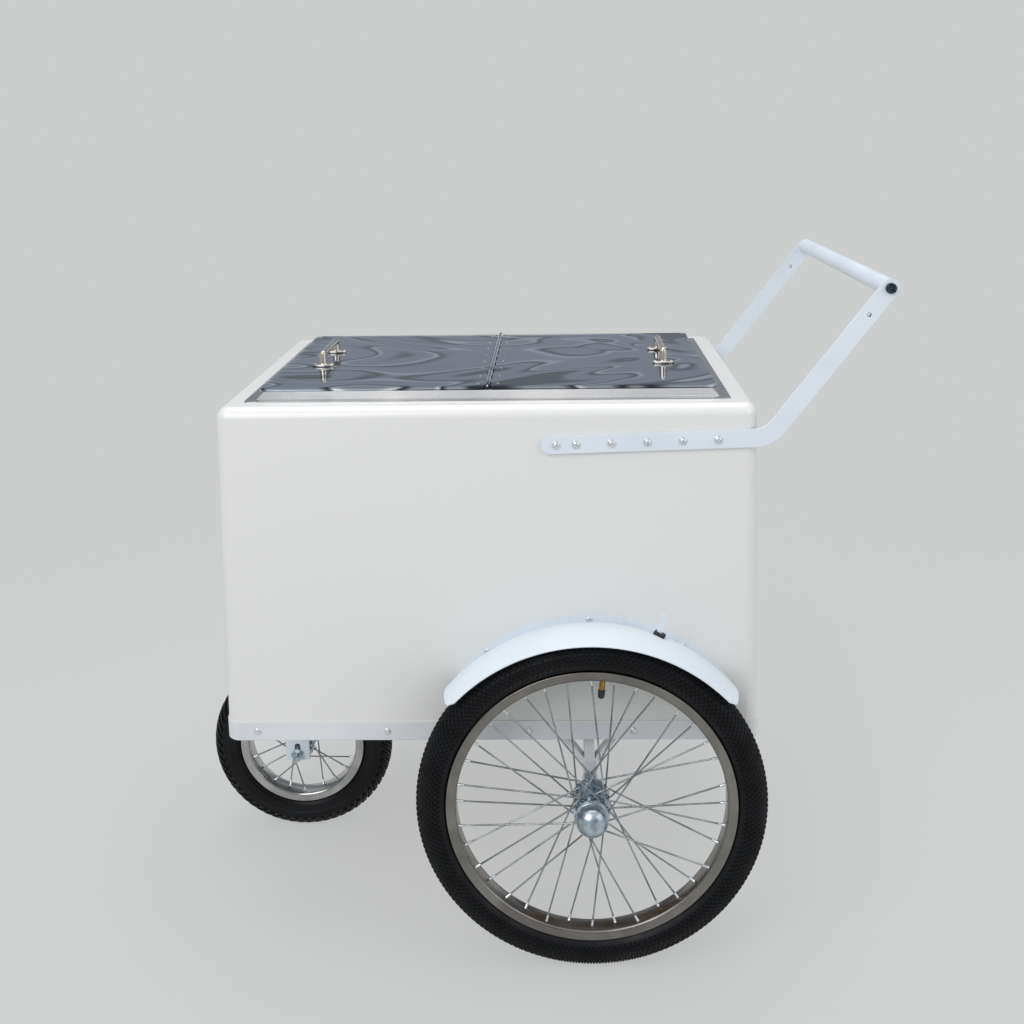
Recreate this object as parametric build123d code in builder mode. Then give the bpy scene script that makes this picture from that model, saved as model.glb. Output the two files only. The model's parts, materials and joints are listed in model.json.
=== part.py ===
from build123d import *
import os
from math import atan2, cos, radians, sin

# Push vending cart. Millimetres. +X runs from the front wheel towards the push handle, +Y across
# the cart, +Z up. The origin is on the floor, under the middle of the whole cart's box.

# ---------------------------------------------------------------- overall sizes
body_length_top = 778.0
body_end_lean = 9.5
body_width = 578.0
base_bottom_z = 310.0
base_height = 28.0
deck_z = 822.0
front_axle_inset = 40.0
rear_axle_inset = 242.0
rear_wheel_outset = 79.4
handle_overhang = 177.5
handle_height = 987.0

# ---------------------------------------------------------------- clearances
running_gap = 0.05
slip_gap = 0.3
seat_gap = 0.2
lid_side_gap = 4.8

# ---------------------------------------------------------------- wheels
rear_tyre_height = 50.5
rear_tyre_section = 50.0
rear_bead_radius = 203.0
front_tyre_height = 54.0
front_tyre_section = 54.0
front_bead_radius = 101.5
rim_flange_height = 6.5
rim_well_depth = 8.5
rim_sheet = 1.8
tyre_wall = 4.0
tube_gap = 0.4
tube_wall = 1.2
valve_radius = 3.6
rear_valve_length = 42.0
front_valve_length = 30.0
rear_spokes = 36
front_spokes = 20
spoke_radius = 1.3
spoke_side_step = 2.65
spoke_seat = 1.4

rear_axle_radius = 7.94
front_axle_radius = 5.0
rear_bearing_radius = 17.46
front_bearing_radius = 13.0
bearing_width = 8.7
hub_wall = 3.6
flange_thickness = 2.6
rear_flange_spacing = 40.0
rear_flange_radius = 27.0
rear_spoke_circle = 22.0
rear_hub_outboard = 36.0
rear_hub_inboard = 32.0
rear_barrel_radius = 17.0
front_flange_spacing = 44.0
front_flange_radius = 22.0
front_spoke_circle = 18.0
front_hub_half = 32.0
front_barrel_radius = 13.0
dust_cap_radius = 23.0
dust_cap_collar = 12.0
dust_cap_dome = 18.0

# ---------------------------------------------------------------- body
corner_radius = 20.0
deck_round = 17.0
shell_wall = 3.5
bead_width = 1.5
bead_height = 3.0
well_end_margin = 68.0
well_side_margin = 75.0
well_floor_z = 400.0
liner_wall = 2.0
base_sheet = 2.5
base_flange = 30.0
floor_thickness = 10.0
trim_sheet = 1.2
trim_flange = 14.0
trim_rise = 10.7
trim_seat = 10.0
trim_skirt = 16.0
cross_width = 36.0
cross_height = 12.0
cross_sheet = 2.5
cross_front_inset = 37.4
cross_rear_inset = 39.0
cross_behind_fork = 193.1
cross_before_axle = 90.3
cross_behind_axle = 65.5

# ---------------------------------------------------------------- lids and hinge
lid_height = 5.0
lid_sheet = 1.0
lid_overhang_x = 6.0
lid_overhang_y = 9.0
pin_radius = 1.5
knuckle_radius = 3.5
knuckle_count = 17
knuckle_gap = 0.6
leaf_width = 25.0
leaf_sheet = 1.2
axis_above_lid = 0.5
post_length = 7.0
plug_depth = 18.0
plug_margin = 6.0
plug_sheet = 1.5
gasket_width = 6.0
rivet_radius = 2.2
rivet_count = 8
pull_inset = 64.0
pull_spacing = 118.0
pull_height = 20.0
pull_bar_radius = 5.5
pull_foot_length = 36.0
pull_foot_width = 17.0
pull_foot_height = 3.5

# ---------------------------------------------------------------- push handle
arm_width = 25.4
arm_thickness = 5.0
arm_low_z = 766.3
arm_tilt = 1.56
arm_rise = 52.5
arm_bend_radius = 48.0
arm_screw_inset = 287.8
arm_screw_steps = (0.0, 28.5, 79.1, 130.2, 180.3, 230.7)
arm_end_margin = 9.0
handle_tube_radius = 12.7
handle_tube_wall = 2.0
handle_plug = 18.0
handle_bolt_radius = 4.0
handle_bolt_head_radius = 7.5
handle_bolt_head_height = 4.5
bell_hole_radius = 3.2
bell_hole_drop = 46.5
screw_radius = 2.5
screw_head_radius = 4.6
washer_radius = 6.2
washer_height = 1.2
screw_head_height = 2.6

# ---------------------------------------------------------------- undercarriage
fork_plate_width = 40.0
fork_plate_thickness = 5.0
fork_gap = 96.0
fork_below_axle = 9.0
fork_slot_length = 26.0
fork_crown_thickness = 4.0
bracket_width = 20.0
bracket_depth = 20.0
bracket_wall = 4.6
bracket_inset = 14.0
block_reach = 28.0
strut_thickness = 6.0
strut_reach = 46.0
strut_plate = 4.0
web_low_half = 8.5
web_top_half = 6.0
nut_height = 9.0
band_bolt_radius = 3.0
band_head_radius = 5.2

# ---------------------------------------------------------------- fenders and wheel brakes
fender_centre_drop = 8.0
fender_edge_gap = 8.5
fender_screw_gap = 2.5
fender_root_gap = -7.5
fender_crown_gap = 18.5
fender_lip_gap = 8.5
fender_lip_outboard = 31.0
fender_crown_inboard = 22.0
fender_half_angle = 50.0
fender_sheet = 1.5
fender_screw_angles = (-36.0, 0.0, 33.0)
brake_angle = 21.0
brake_inboard = 22.0
brake_pivot_below = 4.2
brake_lever_height = 36.0
brake_lever_width = 7.0
brake_lever_thickness = 3.0
brake_pin_radius = 1.6
brake_ear_offset = 4.5
brake_ear_thickness = 1.6
brake_ear_length = 12.0

# ---------------------------------------------------------------- derived places
half_length = body_length_top / 2
body_length_base = body_length_top + 2 * body_end_lean
front_wheel_from_body = half_length - front_axle_inset
rear_wheel_from_body = half_length - rear_axle_inset
rear_track = body_width + 2 * rear_wheel_outset
handle_reach = half_length + handle_overhang
rear_tyre_radius = rear_bead_radius + rear_tyre_height
front_tyre_radius = front_bead_radius + front_tyre_height
well_length = body_length_top - 2 * well_end_margin
well_width = body_width - 2 * well_side_margin
arm_first_screw = half_length - arm_screw_inset
cross_places = (
    cross_front_inset - half_length,
    cross_behind_fork - front_wheel_from_body,
    rear_wheel_from_body - cross_before_axle,
    rear_wheel_from_body + cross_behind_axle,
    half_length - cross_rear_inset,
)
fender_edge_radius = rear_tyre_radius + fender_edge_gap
fender_screw_radius = rear_tyre_radius + fender_screw_gap
fender_root_radius = rear_tyre_radius + fender_root_gap
fender_crown_radius = rear_tyre_radius + fender_crown_gap
fender_lip_radius = rear_tyre_radius + fender_lip_gap
centre_shift = (front_wheel_from_body + front_tyre_radius - handle_reach - arm_width / 2) / 2
front_wheel_x = centre_shift - front_wheel_from_body
rear_wheel_x = centre_shift + rear_wheel_from_body
handle_x = centre_shift + handle_reach
base_top_z = base_bottom_z + base_height
trim_top_z = deck_z + trim_rise
lid_bottom_z = trim_top_z + seat_gap
lid_top_z = lid_bottom_z + lid_height
hinge_z = lid_top_z + axis_above_lid
half_well_x = well_length / 2
half_well_y = well_width / 2
lid_end_x = half_well_x + trim_seat + lid_overhang_x
lid_half_y = half_well_y + lid_overhang_y
half_track = rear_track / 2
arm_y = body_width / 2 + slip_gap
fender_centre_z = rear_tyre_radius - fender_centre_drop
fender_wall_y = body_width / 2 + slip_gap
SIDES = (("left", -1), ("right", 1))
LIDS = (("front", -1), ("rear", 1))


def save(part, name):
    """Label one finished piece and write it under the name of its node."""
    part.label = name
    export_step(part, f"parts/{name}.step")


def axle_plane(x, y, z, outward):
    """Plane through an axle: its first axis runs outboard along the axle, its second points up."""
    return Plane(origin=(x, y, z), x_dir=(0, outward, 0), z_dir=(outward, 0, 0))


def side_plane(y, outward, x=0.0, z=0.0):
    """Plane parallel to the cart's side: x along the cart, y up, extruding along its normal."""
    return Plane(origin=(x, y, z), x_dir=(-outward, 0, 0), z_dir=(0, outward, 0))


def rounded_block(length, width, low_z, high_z, radius, x=0.0):
    """Upright block with rounded vertical corners, as an object for later use."""
    with BuildPart() as block:
        with BuildSketch(Plane.XY.offset(low_z)):
            with Locations((x, 0)):
                RectangleRounded(length, width, radius)
        extrude(amount=high_z - low_z)
    return block.part


def frustum(low_size, high_size, low_z, high_z):
    """Block whose square-cornered outline changes evenly from low_size to high_size."""
    with BuildPart() as block:
        for size, z in ((low_size, low_z), (high_size, high_z)):
            with BuildSketch(Plane.XY.offset(z)):
                with Locations((centre_shift, 0)):
                    Rectangle(*size)
        loft(ruled=True)
    return block.part


def drafted_body(inset, low_z, high_z, round_top):
    """Body block whose ends lean in towards the top, drawn inset from the shell's outside."""
    half_base = body_length_base / 2 - inset
    half_top = body_length_top / 2 - inset
    with BuildPart() as block:
        with BuildSketch(Plane.XZ.offset(inset - body_width / 2)):
            with BuildLine():
                Polyline(
                    (centre_shift - half_base, low_z), (centre_shift + half_base, low_z),
                    (centre_shift + half_top, high_z), (centre_shift - half_top, high_z),
                    close=True,
                )
            make_face()
        extrude(amount=body_width - 2 * inset)
        upright = block.edges().filter_by(lambda edge: edge.bounding_box().size.Z > round_top)
        fillet(upright, corner_radius - inset)
        fillet(block.faces().sort_by(Axis.Z)[-1].edges(), round_top)
    return block.part


# ================================================================ wheels
def make_tyre(x, y, z, outward, tyre_radius, section, bead_radius):
    """Open casing whose two beads sit between the rim's flanges."""
    radius = section / 2
    middle = tyre_radius - radius
    seat = rim_half_width(section) - slip_gap
    flange_top = bead_radius + rim_flange_height + slip_gap
    with BuildPart() as tyre:
        with BuildSketch(axle_plane(x, y, z, outward)):
            with Locations((0, middle)):
                Circle(radius)
                Circle(radius - tyre_wall, mode=Mode.SUBTRACT)
            with Locations((0, bead_radius)):
                Rectangle(2 * (seat - tyre_wall), 2 * (flange_top - bead_radius + tyre_wall),
                          mode=Mode.SUBTRACT)
            for side in (-1, 1):
                with Locations((side * (seat + section / 2), flange_top - section / 2)):
                    Rectangle(section, section, mode=Mode.SUBTRACT)
        revolve(axis=Axis((x, y, z), (0, 1, 0)))
    return tyre.part


def rim_half_width(section):
    """Inside half width between the rim's flanges for a tyre of this section."""
    return section * 0.3


def rim_well_radius(bead_radius):
    """Outside radius of the rim's spoke bed."""
    return bead_radius - rim_well_depth


def make_inner_tube(x, y, z, outward, tyre_radius, section, valve_length, valve_turn):
    """Hollow rubber tube with its valve stem pointing at the hub."""
    middle = tyre_radius - section / 2
    radius = section / 2 - tyre_wall - tube_gap
    with BuildPart() as tube:
        with BuildSketch(axle_plane(x, y, z, outward)):
            with Locations((0, middle)):
                Circle(radius)
                Circle(radius - tube_wall, mode=Mode.SUBTRACT)
        revolve(axis=Axis((x, y, z), (0, 1, 0)))
        stem_top = middle - radius + tube_wall / 2
        with BuildSketch(valve_plane(x, y, z, stem_top, valve_turn)):
            Circle(valve_radius)
        extrude(amount=-valve_length)
    return tube.part


def valve_plane(x, y, z, distance, turn):
    """Plane across the valve, turned from straight up, at a distance from the axle."""
    lean = radians(turn)
    direction = (sin(lean), 0, cos(lean))
    origin = (x + distance * direction[0], y, z + distance * direction[2])
    return Plane(origin=origin, x_dir=(0, 1, 0), z_dir=direction)


def make_rim(x, y, z, outward, section, bead_radius, valve_turn):
    """Rolled steel rim with two flanges, a spoke bed and the valve's hole."""
    inside = rim_half_width(section)
    outside = inside + rim_sheet
    top = bead_radius + rim_flange_height
    bed = rim_well_radius(bead_radius)
    slope = 3.4
    with BuildPart() as rim:
        with BuildSketch(axle_plane(x, y, z, outward)):
            with BuildLine():
                Polyline(
                    (-outside, top), (-outside, bead_radius - slope), (slope - outside, bed),
                    (outside - slope, bed), (outside, bead_radius - slope), (outside, top),
                    (inside, top), (inside, bead_radius - slope + rim_sheet / 2),
                    (inside - slope + rim_sheet / 2, bed + rim_sheet),
                    (slope - rim_sheet / 2 - inside, bed + rim_sheet),
                    (-inside, bead_radius - slope + rim_sheet / 2), (-inside, top),
                    close=True,
                )
            make_face()
        revolve(axis=Axis((x, y, z), (0, 1, 0)))
        with BuildSketch(valve_plane(x, y, z, bed - slope, valve_turn)):
            Circle(valve_radius + slip_gap)
        extrude(amount=bead_radius - bed + slope, mode=Mode.SUBTRACT)
    return rim.part


def make_spokes(x, y, z, count, spacing, circle, bead_radius, crossing):
    """Straight spokes, each with an elbow through its flange and its end in the rim's bed."""
    rim_end = rim_well_radius(bead_radius) + spoke_seat
    rim_step = spoke_side_step + spoke_radius + slip_gap
    pitch = 720 / count
    with BuildPart() as spokes:
        for flange in (-1, 1):
            turn = pitch / 4 * (flange + 1)
            for place in range(count // 2):
                trailing = place % 2
                lean = -1 if trailing else 1
                hub_angle = radians(place * pitch + turn)
                rim_angle = radians(place * pitch + turn + lean * crossing)
                side = spacing / 2 * flange + lean * spoke_side_step
                start = Vector(x + circle * sin(hub_angle), y + side, z + circle * cos(hub_angle))
                rim_y = y + rim_step * flange + lean * spoke_side_step
                end = Vector(x + rim_end * sin(rim_angle), rim_y, z + rim_end * cos(rim_angle))
                with BuildSketch(Plane(origin=start, z_dir=end - start)):
                    Circle(spoke_radius)
                extrude(amount=(end - start).length)
                elbow = Vector(start.X, y + spacing / 2 * flange - lean * spoke_side_step, start.Z)
                with BuildSketch(Plane(origin=elbow, z_dir=(0, lean, 0))):
                    Circle(spoke_radius)
                extrude(amount=2 * spoke_side_step)
    return spokes.part


def make_hub(x, y, z, outward, sizes):
    """Turned hub shell: barrel, two spoke flanges and a bearing cup at each end."""
    spacing, flange_radius, barrel, outer_end, inner_end, bearing, axle = sizes
    cup = bearing + hub_wall
    with BuildPart() as hub:
        with BuildSketch(axle_plane(x, y, z, outward)):
            with Locations(((outer_end - inner_end) / 2, 0)):
                Rectangle(outer_end + inner_end, 2 * barrel)
            for side, end in ((-1, inner_end), (1, outer_end)):
                with Locations((side * spacing / 2, 0)):
                    Rectangle(flange_thickness, 2 * flange_radius)
                with Locations((side * (spacing / 2 + end) / 2, 0)):
                    Rectangle(end - spacing / 2, 2 * cup)
                with Locations((side * (end - bearing_width / 2), 0)):
                    Rectangle(bearing_width, 2 * bearing, mode=Mode.SUBTRACT)
            with Locations(((outer_end - inner_end) / 2, 0)):
                Rectangle(outer_end + inner_end, 2 * (axle + 3), mode=Mode.SUBTRACT)
            with Locations((0, -sizes[1])):
                Rectangle(4 * outer_end, 2 * sizes[1], mode=Mode.SUBTRACT)
        revolve(axis=Axis((x, y, z), (0, 1, 0)))
    return hub.part


def make_bearings(x, y, z, outward, outer_end, inner_end, bearing, axle):
    """Two sealed ball bearings, pressed in the hub and running on the axle."""
    with BuildPart() as bearings:
        with BuildSketch(axle_plane(x, y, z, outward)):
            for side, end in ((-1, inner_end), (1, outer_end)):
                low = axle + running_gap
                high = bearing - running_gap
                with Locations((side * (end - bearing_width / 2), (low + high) / 2)):
                    Rectangle(bearing_width, high - low)
        revolve(axis=Axis((x, y, z), (0, 1, 0)))
    return bearings.part


def make_dust_cap(x, y, z, outward):
    """Pressed cap with a collar round the hub's outer end and a domed crown."""
    start = rear_hub_outboard - dust_cap_collar / 2
    shoulder = start + dust_cap_collar * 1.5
    inner = rear_bearing_radius + hub_wall + running_gap
    wall = dust_cap_radius - inner
    forms = (
        (start, dust_cap_radius, dust_cap_dome, Mode.ADD),
        (start - 1, inner, dust_cap_dome - wall, Mode.SUBTRACT),
    )
    with BuildPart() as cap:
        for low, radius, dome, mode in forms:
            ball = (radius**2 + dome**2) / (2 * dome)
            turn = atan2(radius, ball - dome) / 2
            bulge = (shoulder + dome - ball + ball * cos(turn), ball * sin(turn))
            with BuildSketch(axle_plane(x, y, z, outward)):
                with BuildLine():
                    Polyline((shoulder + dome, 0), (low, 0), (low, radius), (shoulder, radius))
                    ThreePointArc((shoulder, radius), bulge, (shoulder + dome, 0))
                make_face()
            revolve(axis=Axis((x, y, z), (0, 1, 0)), mode=mode)
    return cap.part


def build_rear_wheels():
    sizes = (rear_flange_spacing, rear_flange_radius, rear_barrel_radius, rear_hub_outboard,
             rear_hub_inboard, rear_bearing_radius, rear_axle_radius)
    for side, outward in SIDES:
        place = (rear_wheel_x, outward * half_track, rear_tyre_radius)
        casing = (rear_tyre_radius, rear_tyre_section, rear_bead_radius)
        save(make_tyre(*place, outward, *casing), f"{side}_wheel_tyre")
        save(make_inner_tube(*place, outward, *casing[:2], rear_valve_length, 180 / rear_spokes),
             f"{side}_wheel_inner_tube")
        save(make_rim(*place, outward, *casing[1:], 180 / rear_spokes), f"{side}_wheel_rim")
        save(make_spokes(*place, rear_spokes, rear_flange_spacing, rear_spoke_circle, rear_bead_radius,
                         3 * 720 / rear_spokes), f"{side}_wheel_spokes")
        save(make_hub(*place, outward, sizes), f"{side}_wheel_hub")
        save(make_bearings(*place, outward, rear_hub_outboard, rear_hub_inboard,
                           rear_bearing_radius, rear_axle_radius), f"{side}_wheel_bearings")
        save(make_dust_cap(*place, outward), f"{side}_wheel_dust_cap")


def build_front_wheel():
    sizes = (front_flange_spacing, front_flange_radius, front_barrel_radius, front_hub_half,
             front_hub_half, front_bearing_radius, front_axle_radius)
    place = (front_wheel_x, 0, front_tyre_radius)
    casing = (front_tyre_radius, front_tyre_section, front_bead_radius)
    save(make_tyre(*place, 1, *casing), "front_wheel_tyre")
    save(make_inner_tube(*place, 1, *casing[:2], front_valve_length, 180 / front_spokes),
         "front_wheel_inner_tube")
    save(make_rim(*place, 1, *casing[1:], 180 / front_spokes), "front_wheel_rim")
    save(make_spokes(*place, front_spokes, front_flange_spacing, front_spoke_circle, front_bead_radius,
                     2 * 720 / front_spokes), "front_wheel_spokes")
    save(make_hub(*place, 1, sizes), "front_wheel_hub")
    save(make_bearings(*place, 1, front_hub_half, front_hub_half, front_bearing_radius,
                       front_axle_radius), "front_wheel_bearings")


# ================================================================ insulated body
def build_outer_shell():
    """Moulded glass-fibre shell, open below, with a rounded deck around the well."""
    cavity = drafted_body(shell_wall, base_top_z, deck_z - shell_wall, deck_round - shell_wall)
    opening = rounded_block(well_length + 2 * liner_wall + 2, well_width + 2 * liner_wall + 2,
                            deck_z - 2 * shell_wall, deck_z + 1, corner_radius / 2, centre_shift)
    with BuildPart() as shell:
        add(drafted_body(0, base_top_z, deck_z, deck_round))
        add(rounded_block(body_length_base + 2 * bead_width, body_width + 2 * bead_width, base_top_z,
                          base_top_z + bead_height, corner_radius + bead_width, centre_shift))
        add(cavity, mode=Mode.SUBTRACT)
        add(opening, mode=Mode.SUBTRACT)
        add(side_cutters(screw_radius + running_gap), mode=Mode.SUBTRACT)
    save(shell.part, "outer_shell")


def side_cutters(radius):
    """Rods that cut the holes for the handle's and the fenders' screws in the body's sides."""
    with BuildPart() as rods:
        for outward in (-1, 1):
            for x, z in arm_screw_places() + fender_screw_places():
                with BuildSketch(side_plane(outward * (body_width / 2 + 5), outward, x, z)):
                    Circle(radius)
                extrude(amount=-24)
    return rods.part


def build_insulation():
    """Poured foam between shell and liner, from the floor panel to the deck."""
    hole = rounded_block(well_length + 2 * liner_wall + 2 * slip_gap,
                         well_width + 2 * liner_wall + 2 * slip_gap,
                         well_floor_z - liner_wall - slip_gap, deck_z + 1, corner_radius / 2, centre_shift)
    with BuildPart() as foam:
        add(drafted_body(shell_wall + slip_gap, base_top_z + floor_thickness + slip_gap,
                         deck_z - shell_wall - slip_gap, deck_round - shell_wall))
        add(hole, mode=Mode.SUBTRACT)
        add(side_cutters(screw_radius + slip_gap), mode=Mode.SUBTRACT)
    save(foam.part, "insulation")


def build_inner_liner():
    """Smooth tub that holds the goods, hung from the top trim."""
    with BuildPart() as liner:
        add(rounded_block(well_length + 2 * liner_wall, well_width + 2 * liner_wall,
                          well_floor_z - liner_wall, trim_top_z - trim_sheet - slip_gap,
                          corner_radius / 2, centre_shift))
        add(rounded_block(well_length, well_width, well_floor_z, trim_top_z,
                          corner_radius / 2 - liner_wall, centre_shift), mode=Mode.SUBTRACT)
    save(liner.part, "inner_liner")


def build_top_trim():
    """Bright sheet frame: flat flange on the deck, bevelled rise, lid seat and inner skirt."""
    seat = (well_length + 2 * trim_seat, well_width + 2 * trim_seat)
    foot = (seat[0] + 2 * trim_rise, seat[1] + 2 * trim_rise)
    edge = (foot[0] + 2 * trim_flange, foot[1] + 2 * trim_flange)
    fold = 2.4 * trim_sheet
    skirt = (well_length - 2 * slip_gap, well_width - 2 * slip_gap)
    with BuildPart() as trim:
        add(rounded_block(edge[0], edge[1], deck_z, deck_z + trim_sheet, 6, centre_shift))
        add(frustum(foot, seat, deck_z, trim_top_z))
        add(frustum((foot[0] - fold, foot[1] - fold), (seat[0] - fold, seat[1] - fold),
                    deck_z, trim_top_z - trim_sheet), mode=Mode.SUBTRACT)
        add(rounded_block(skirt[0], skirt[1], trim_top_z - trim_skirt, trim_top_z,
                          corner_radius / 2 - liner_wall, centre_shift))
        add(rounded_block(skirt[0] - 2 * trim_sheet, skirt[1] - 2 * trim_sheet,
                          trim_top_z - trim_skirt - 1, trim_top_z + 1,
                          corner_radius / 2 - liner_wall - trim_sheet, centre_shift), mode=Mode.SUBTRACT)
    save(trim.part, "top_trim")


def build_hinge_beam():
    """Channel across the well that carries the lids' middle edges, and the pin's two end posts."""
    half = half_well_y - slip_gap - trim_sheet
    width = 30.0
    with BuildPart() as beam:
        with BuildSketch(Plane.XZ.offset(-half)):
            with Locations((centre_shift, trim_top_z - trim_skirt / 2)):
                Rectangle(width, trim_skirt)
            with Locations((centre_shift, trim_top_z - trim_skirt / 2 - 1.5 * trim_sheet)):
                Rectangle(width - 3 * trim_sheet, trim_skirt, mode=Mode.SUBTRACT)
        extrude(amount=2 * half)
        for side in (-1, 1):
            with BuildSketch(Plane.XZ.offset(-side * (half_well_y + 3.5) - post_length / 2)):
                with Locations((centre_shift, (trim_top_z + hinge_z) / 2)):
                    Rectangle(2 * knuckle_radius, hinge_z - trim_top_z)
                with Locations((centre_shift, hinge_z)):
                    Circle(knuckle_radius)
                    Circle(pin_radius + running_gap, mode=Mode.SUBTRACT)
            extrude(amount=post_length)
    save(beam.part, "hinge_beam")
    with BuildPart() as pin:
        with BuildSketch(Plane.XZ.offset(-half_well_y - post_length)):
            with Locations((centre_shift, hinge_z)):
                Circle(pin_radius)
        extrude(amount=2 * (half_well_y + post_length))
    save(pin.part, "hinge_pin")


# ================================================================ lids
def lid_box(lid_side, near, far, half_y, low_z, high_z, corner=0.0):
    """Block over one well; near and far are distances from the hinge line."""
    with BuildPart() as block:
        with BuildSketch(Plane.XY.offset(low_z)):
            with Locations((centre_shift + lid_side * (near + far) / 2, 0)):
                if corner:
                    RectangleRounded(far - near, 2 * half_y, corner)
                else:
                    Rectangle(far - near, 2 * half_y)
        extrude(amount=high_z - low_z)
    return block.part


def rivet_places(lid_side):
    """Centres of the rivets that hold one hinge leaf."""
    pitch = 2 * (lid_half_y - 22) / (rivet_count - 1)
    x = centre_shift + lid_side * 15
    return [(x, (number - (rivet_count - 1) / 2) * pitch) for number in range(rivet_count)]


def build_lid(name, lid_side):
    leaf_top = lid_top_z - lid_sheet
    leaf_low = leaf_top - leaf_sheet
    pan_top = leaf_low
    pan_low = pan_top - plug_sheet
    plug_low = trim_top_z - plug_depth
    plug_near = 15 + plug_margin / 2
    plug_far = half_well_x - plug_margin
    plug_half_y = half_well_y - plug_margin
    inner_near = lid_side_gap + lid_sheet
    inner_far = lid_end_x - lid_sheet
    inner_half_y = lid_half_y - lid_sheet
    pull_x = centre_shift + lid_side * (lid_end_x - pull_inset)
    pull_screws = [(pull_x + dx, dy) for dx in (-13, 13) for dy in (-pull_spacing / 2, pull_spacing / 2)]

    with BuildPart() as skin:
        add(lid_box(lid_side, lid_side_gap, lid_end_x, lid_half_y, lid_bottom_z, lid_top_z, 3))
        add(lid_box(lid_side, inner_near, inner_far, inner_half_y, lid_bottom_z - 1, leaf_top, 2),
            mode=Mode.SUBTRACT)
        with BuildSketch(Plane.XY.offset(leaf_top - 1)):
            with Locations(*rivet_places(lid_side), *pull_screws):
                Circle(rivet_radius * 0.75 + running_gap)
        extrude(amount=3, mode=Mode.SUBTRACT)
        notch = lid_box(lid_side, 0, inner_near + 0.5, knuckle_half(), leaf_low - 0.2, leaf_top)
        add(notch, mode=Mode.SUBTRACT)
    save(skin.part, f"{name}_lid_skin")

    with BuildPart() as leaf:
        add(lid_box(lid_side, lid_side_gap - 0.2, leaf_width, knuckle_half(), leaf_low, leaf_top))
        with BuildSketch(Plane.XY.offset(leaf_low - 1)):
            with Locations(*rivet_places(lid_side)):
                Circle(rivet_radius * 0.75 + running_gap)
        extrude(amount=4, mode=Mode.SUBTRACT)
        pitch = 2 * knuckle_half() / knuckle_count
        first = 0 if lid_side < 0 else 1
        for number in range(first, knuckle_count, 2):
            start = -knuckle_half() + number * pitch + knuckle_gap / 2
            with BuildSketch(Plane.XZ.offset(-start - pitch + knuckle_gap)):
                with Locations((centre_shift, hinge_z)):
                    Circle(knuckle_radius)
                with Locations((centre_shift + lid_side * lid_side_gap / 2, (leaf_low + leaf_top) / 2)):
                    Rectangle(lid_side_gap, leaf_sheet)
                with Locations((centre_shift, hinge_z)):
                    Circle(pin_radius + running_gap, mode=Mode.SUBTRACT)
            extrude(amount=pitch - knuckle_gap)
    save(leaf.part, f"{name}_lid_hinge_leaf")

    with BuildPart() as panel:
        add(lid_box(lid_side, inner_near + 0.6, inner_far - slip_gap, inner_half_y - slip_gap,
                    pan_low, pan_top, 2))
        add(lid_box(lid_side, plug_near, plug_far, plug_half_y, plug_low, pan_top, 4))
        add(lid_box(lid_side, plug_near + plug_sheet, plug_far - plug_sheet, plug_half_y - plug_sheet,
                    plug_low + plug_sheet, pan_top + 1, 3), mode=Mode.SUBTRACT)
    save(panel.part, f"{name}_lid_inner_panel")

    with BuildPart() as core:
        add(lid_box(lid_side, plug_near + plug_sheet + slip_gap, plug_far - plug_sheet - slip_gap,
                    plug_half_y - plug_sheet - slip_gap, plug_low + plug_sheet, pan_top, 2.5))
    save(core.part, f"{name}_lid_core")

    gasket_low = lid_bottom_z
    gasket_near = inner_near + 0.8
    gasket_far = half_well_x + trim_seat - 0.5
    gasket_half_y = half_well_y + trim_seat - 2.5
    with BuildPart() as gasket:
        add(lid_box(lid_side, gasket_near, gasket_far, gasket_half_y, gasket_low, pan_low, 2))
        add(lid_box(lid_side, gasket_near + gasket_width, gasket_far - gasket_width,
                    gasket_half_y - gasket_width, gasket_low - 1, pan_low + 1), mode=Mode.SUBTRACT)
    save(gasket.part, f"{name}_lid_gasket")

    with BuildPart() as fasteners:
        with BuildSketch(Plane.XY.offset(leaf_low)):
            with Locations(*rivet_places(lid_side)):
                Circle(rivet_radius * 0.75)
        extrude(amount=lid_top_z - leaf_low)
        with BuildSketch(Plane.XY.offset(lid_top_z)):
            with Locations(*rivet_places(lid_side)):
                Circle(rivet_radius)
        extrude(amount=0.8)
        with BuildSketch(Plane.XY.offset(leaf_low)):
            with Locations(*pull_screws):
                Circle(rivet_radius * 0.75)
        extrude(amount=lid_top_z + pull_foot_height - leaf_low)
        with BuildSketch(Plane.XY.offset(lid_top_z + pull_foot_height)):
            with Locations(*pull_screws):
                Circle(rivet_radius * 1.4)
        extrude(amount=1.6)
    save(fasteners.part, f"{name}_lid_fasteners")

    with BuildPart() as pull:
        with BuildSketch(Plane.XY.offset(lid_top_z)):
            with Locations((pull_x, -pull_spacing / 2), (pull_x, pull_spacing / 2)):
                Ellipse(pull_foot_length / 2, pull_foot_width / 2)
            with Locations(*pull_screws):
                Circle(rivet_radius * 0.75 + running_gap, mode=Mode.SUBTRACT)
        extrude(amount=pull_foot_height)
        for foot in (-1, 1):
            with Locations((pull_x, foot * pull_spacing / 2, lid_top_z + pull_height / 2)):
                Cone(pull_bar_radius + 1.5, pull_bar_radius, pull_height)
            with Locations((pull_x, foot * pull_spacing / 2, lid_top_z + pull_height)):
                Sphere(pull_bar_radius)
        with BuildSketch(Plane.XZ.offset(-pull_spacing / 2)):
            with Locations((pull_x, lid_top_z + pull_height)):
                Circle(pull_bar_radius - 0.5)
        extrude(amount=pull_spacing)
    save(pull.part, f"{name}_lid_pull")


def knuckle_half():
    """Half the length of the row of hinge knuckles, just inside the end posts."""
    return half_well_y + 3.5 - post_length / 2 - knuckle_gap


# ================================================================ base frame
def band_bolt_z():
    return base_bottom_z + base_height / 2 + 1


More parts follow.
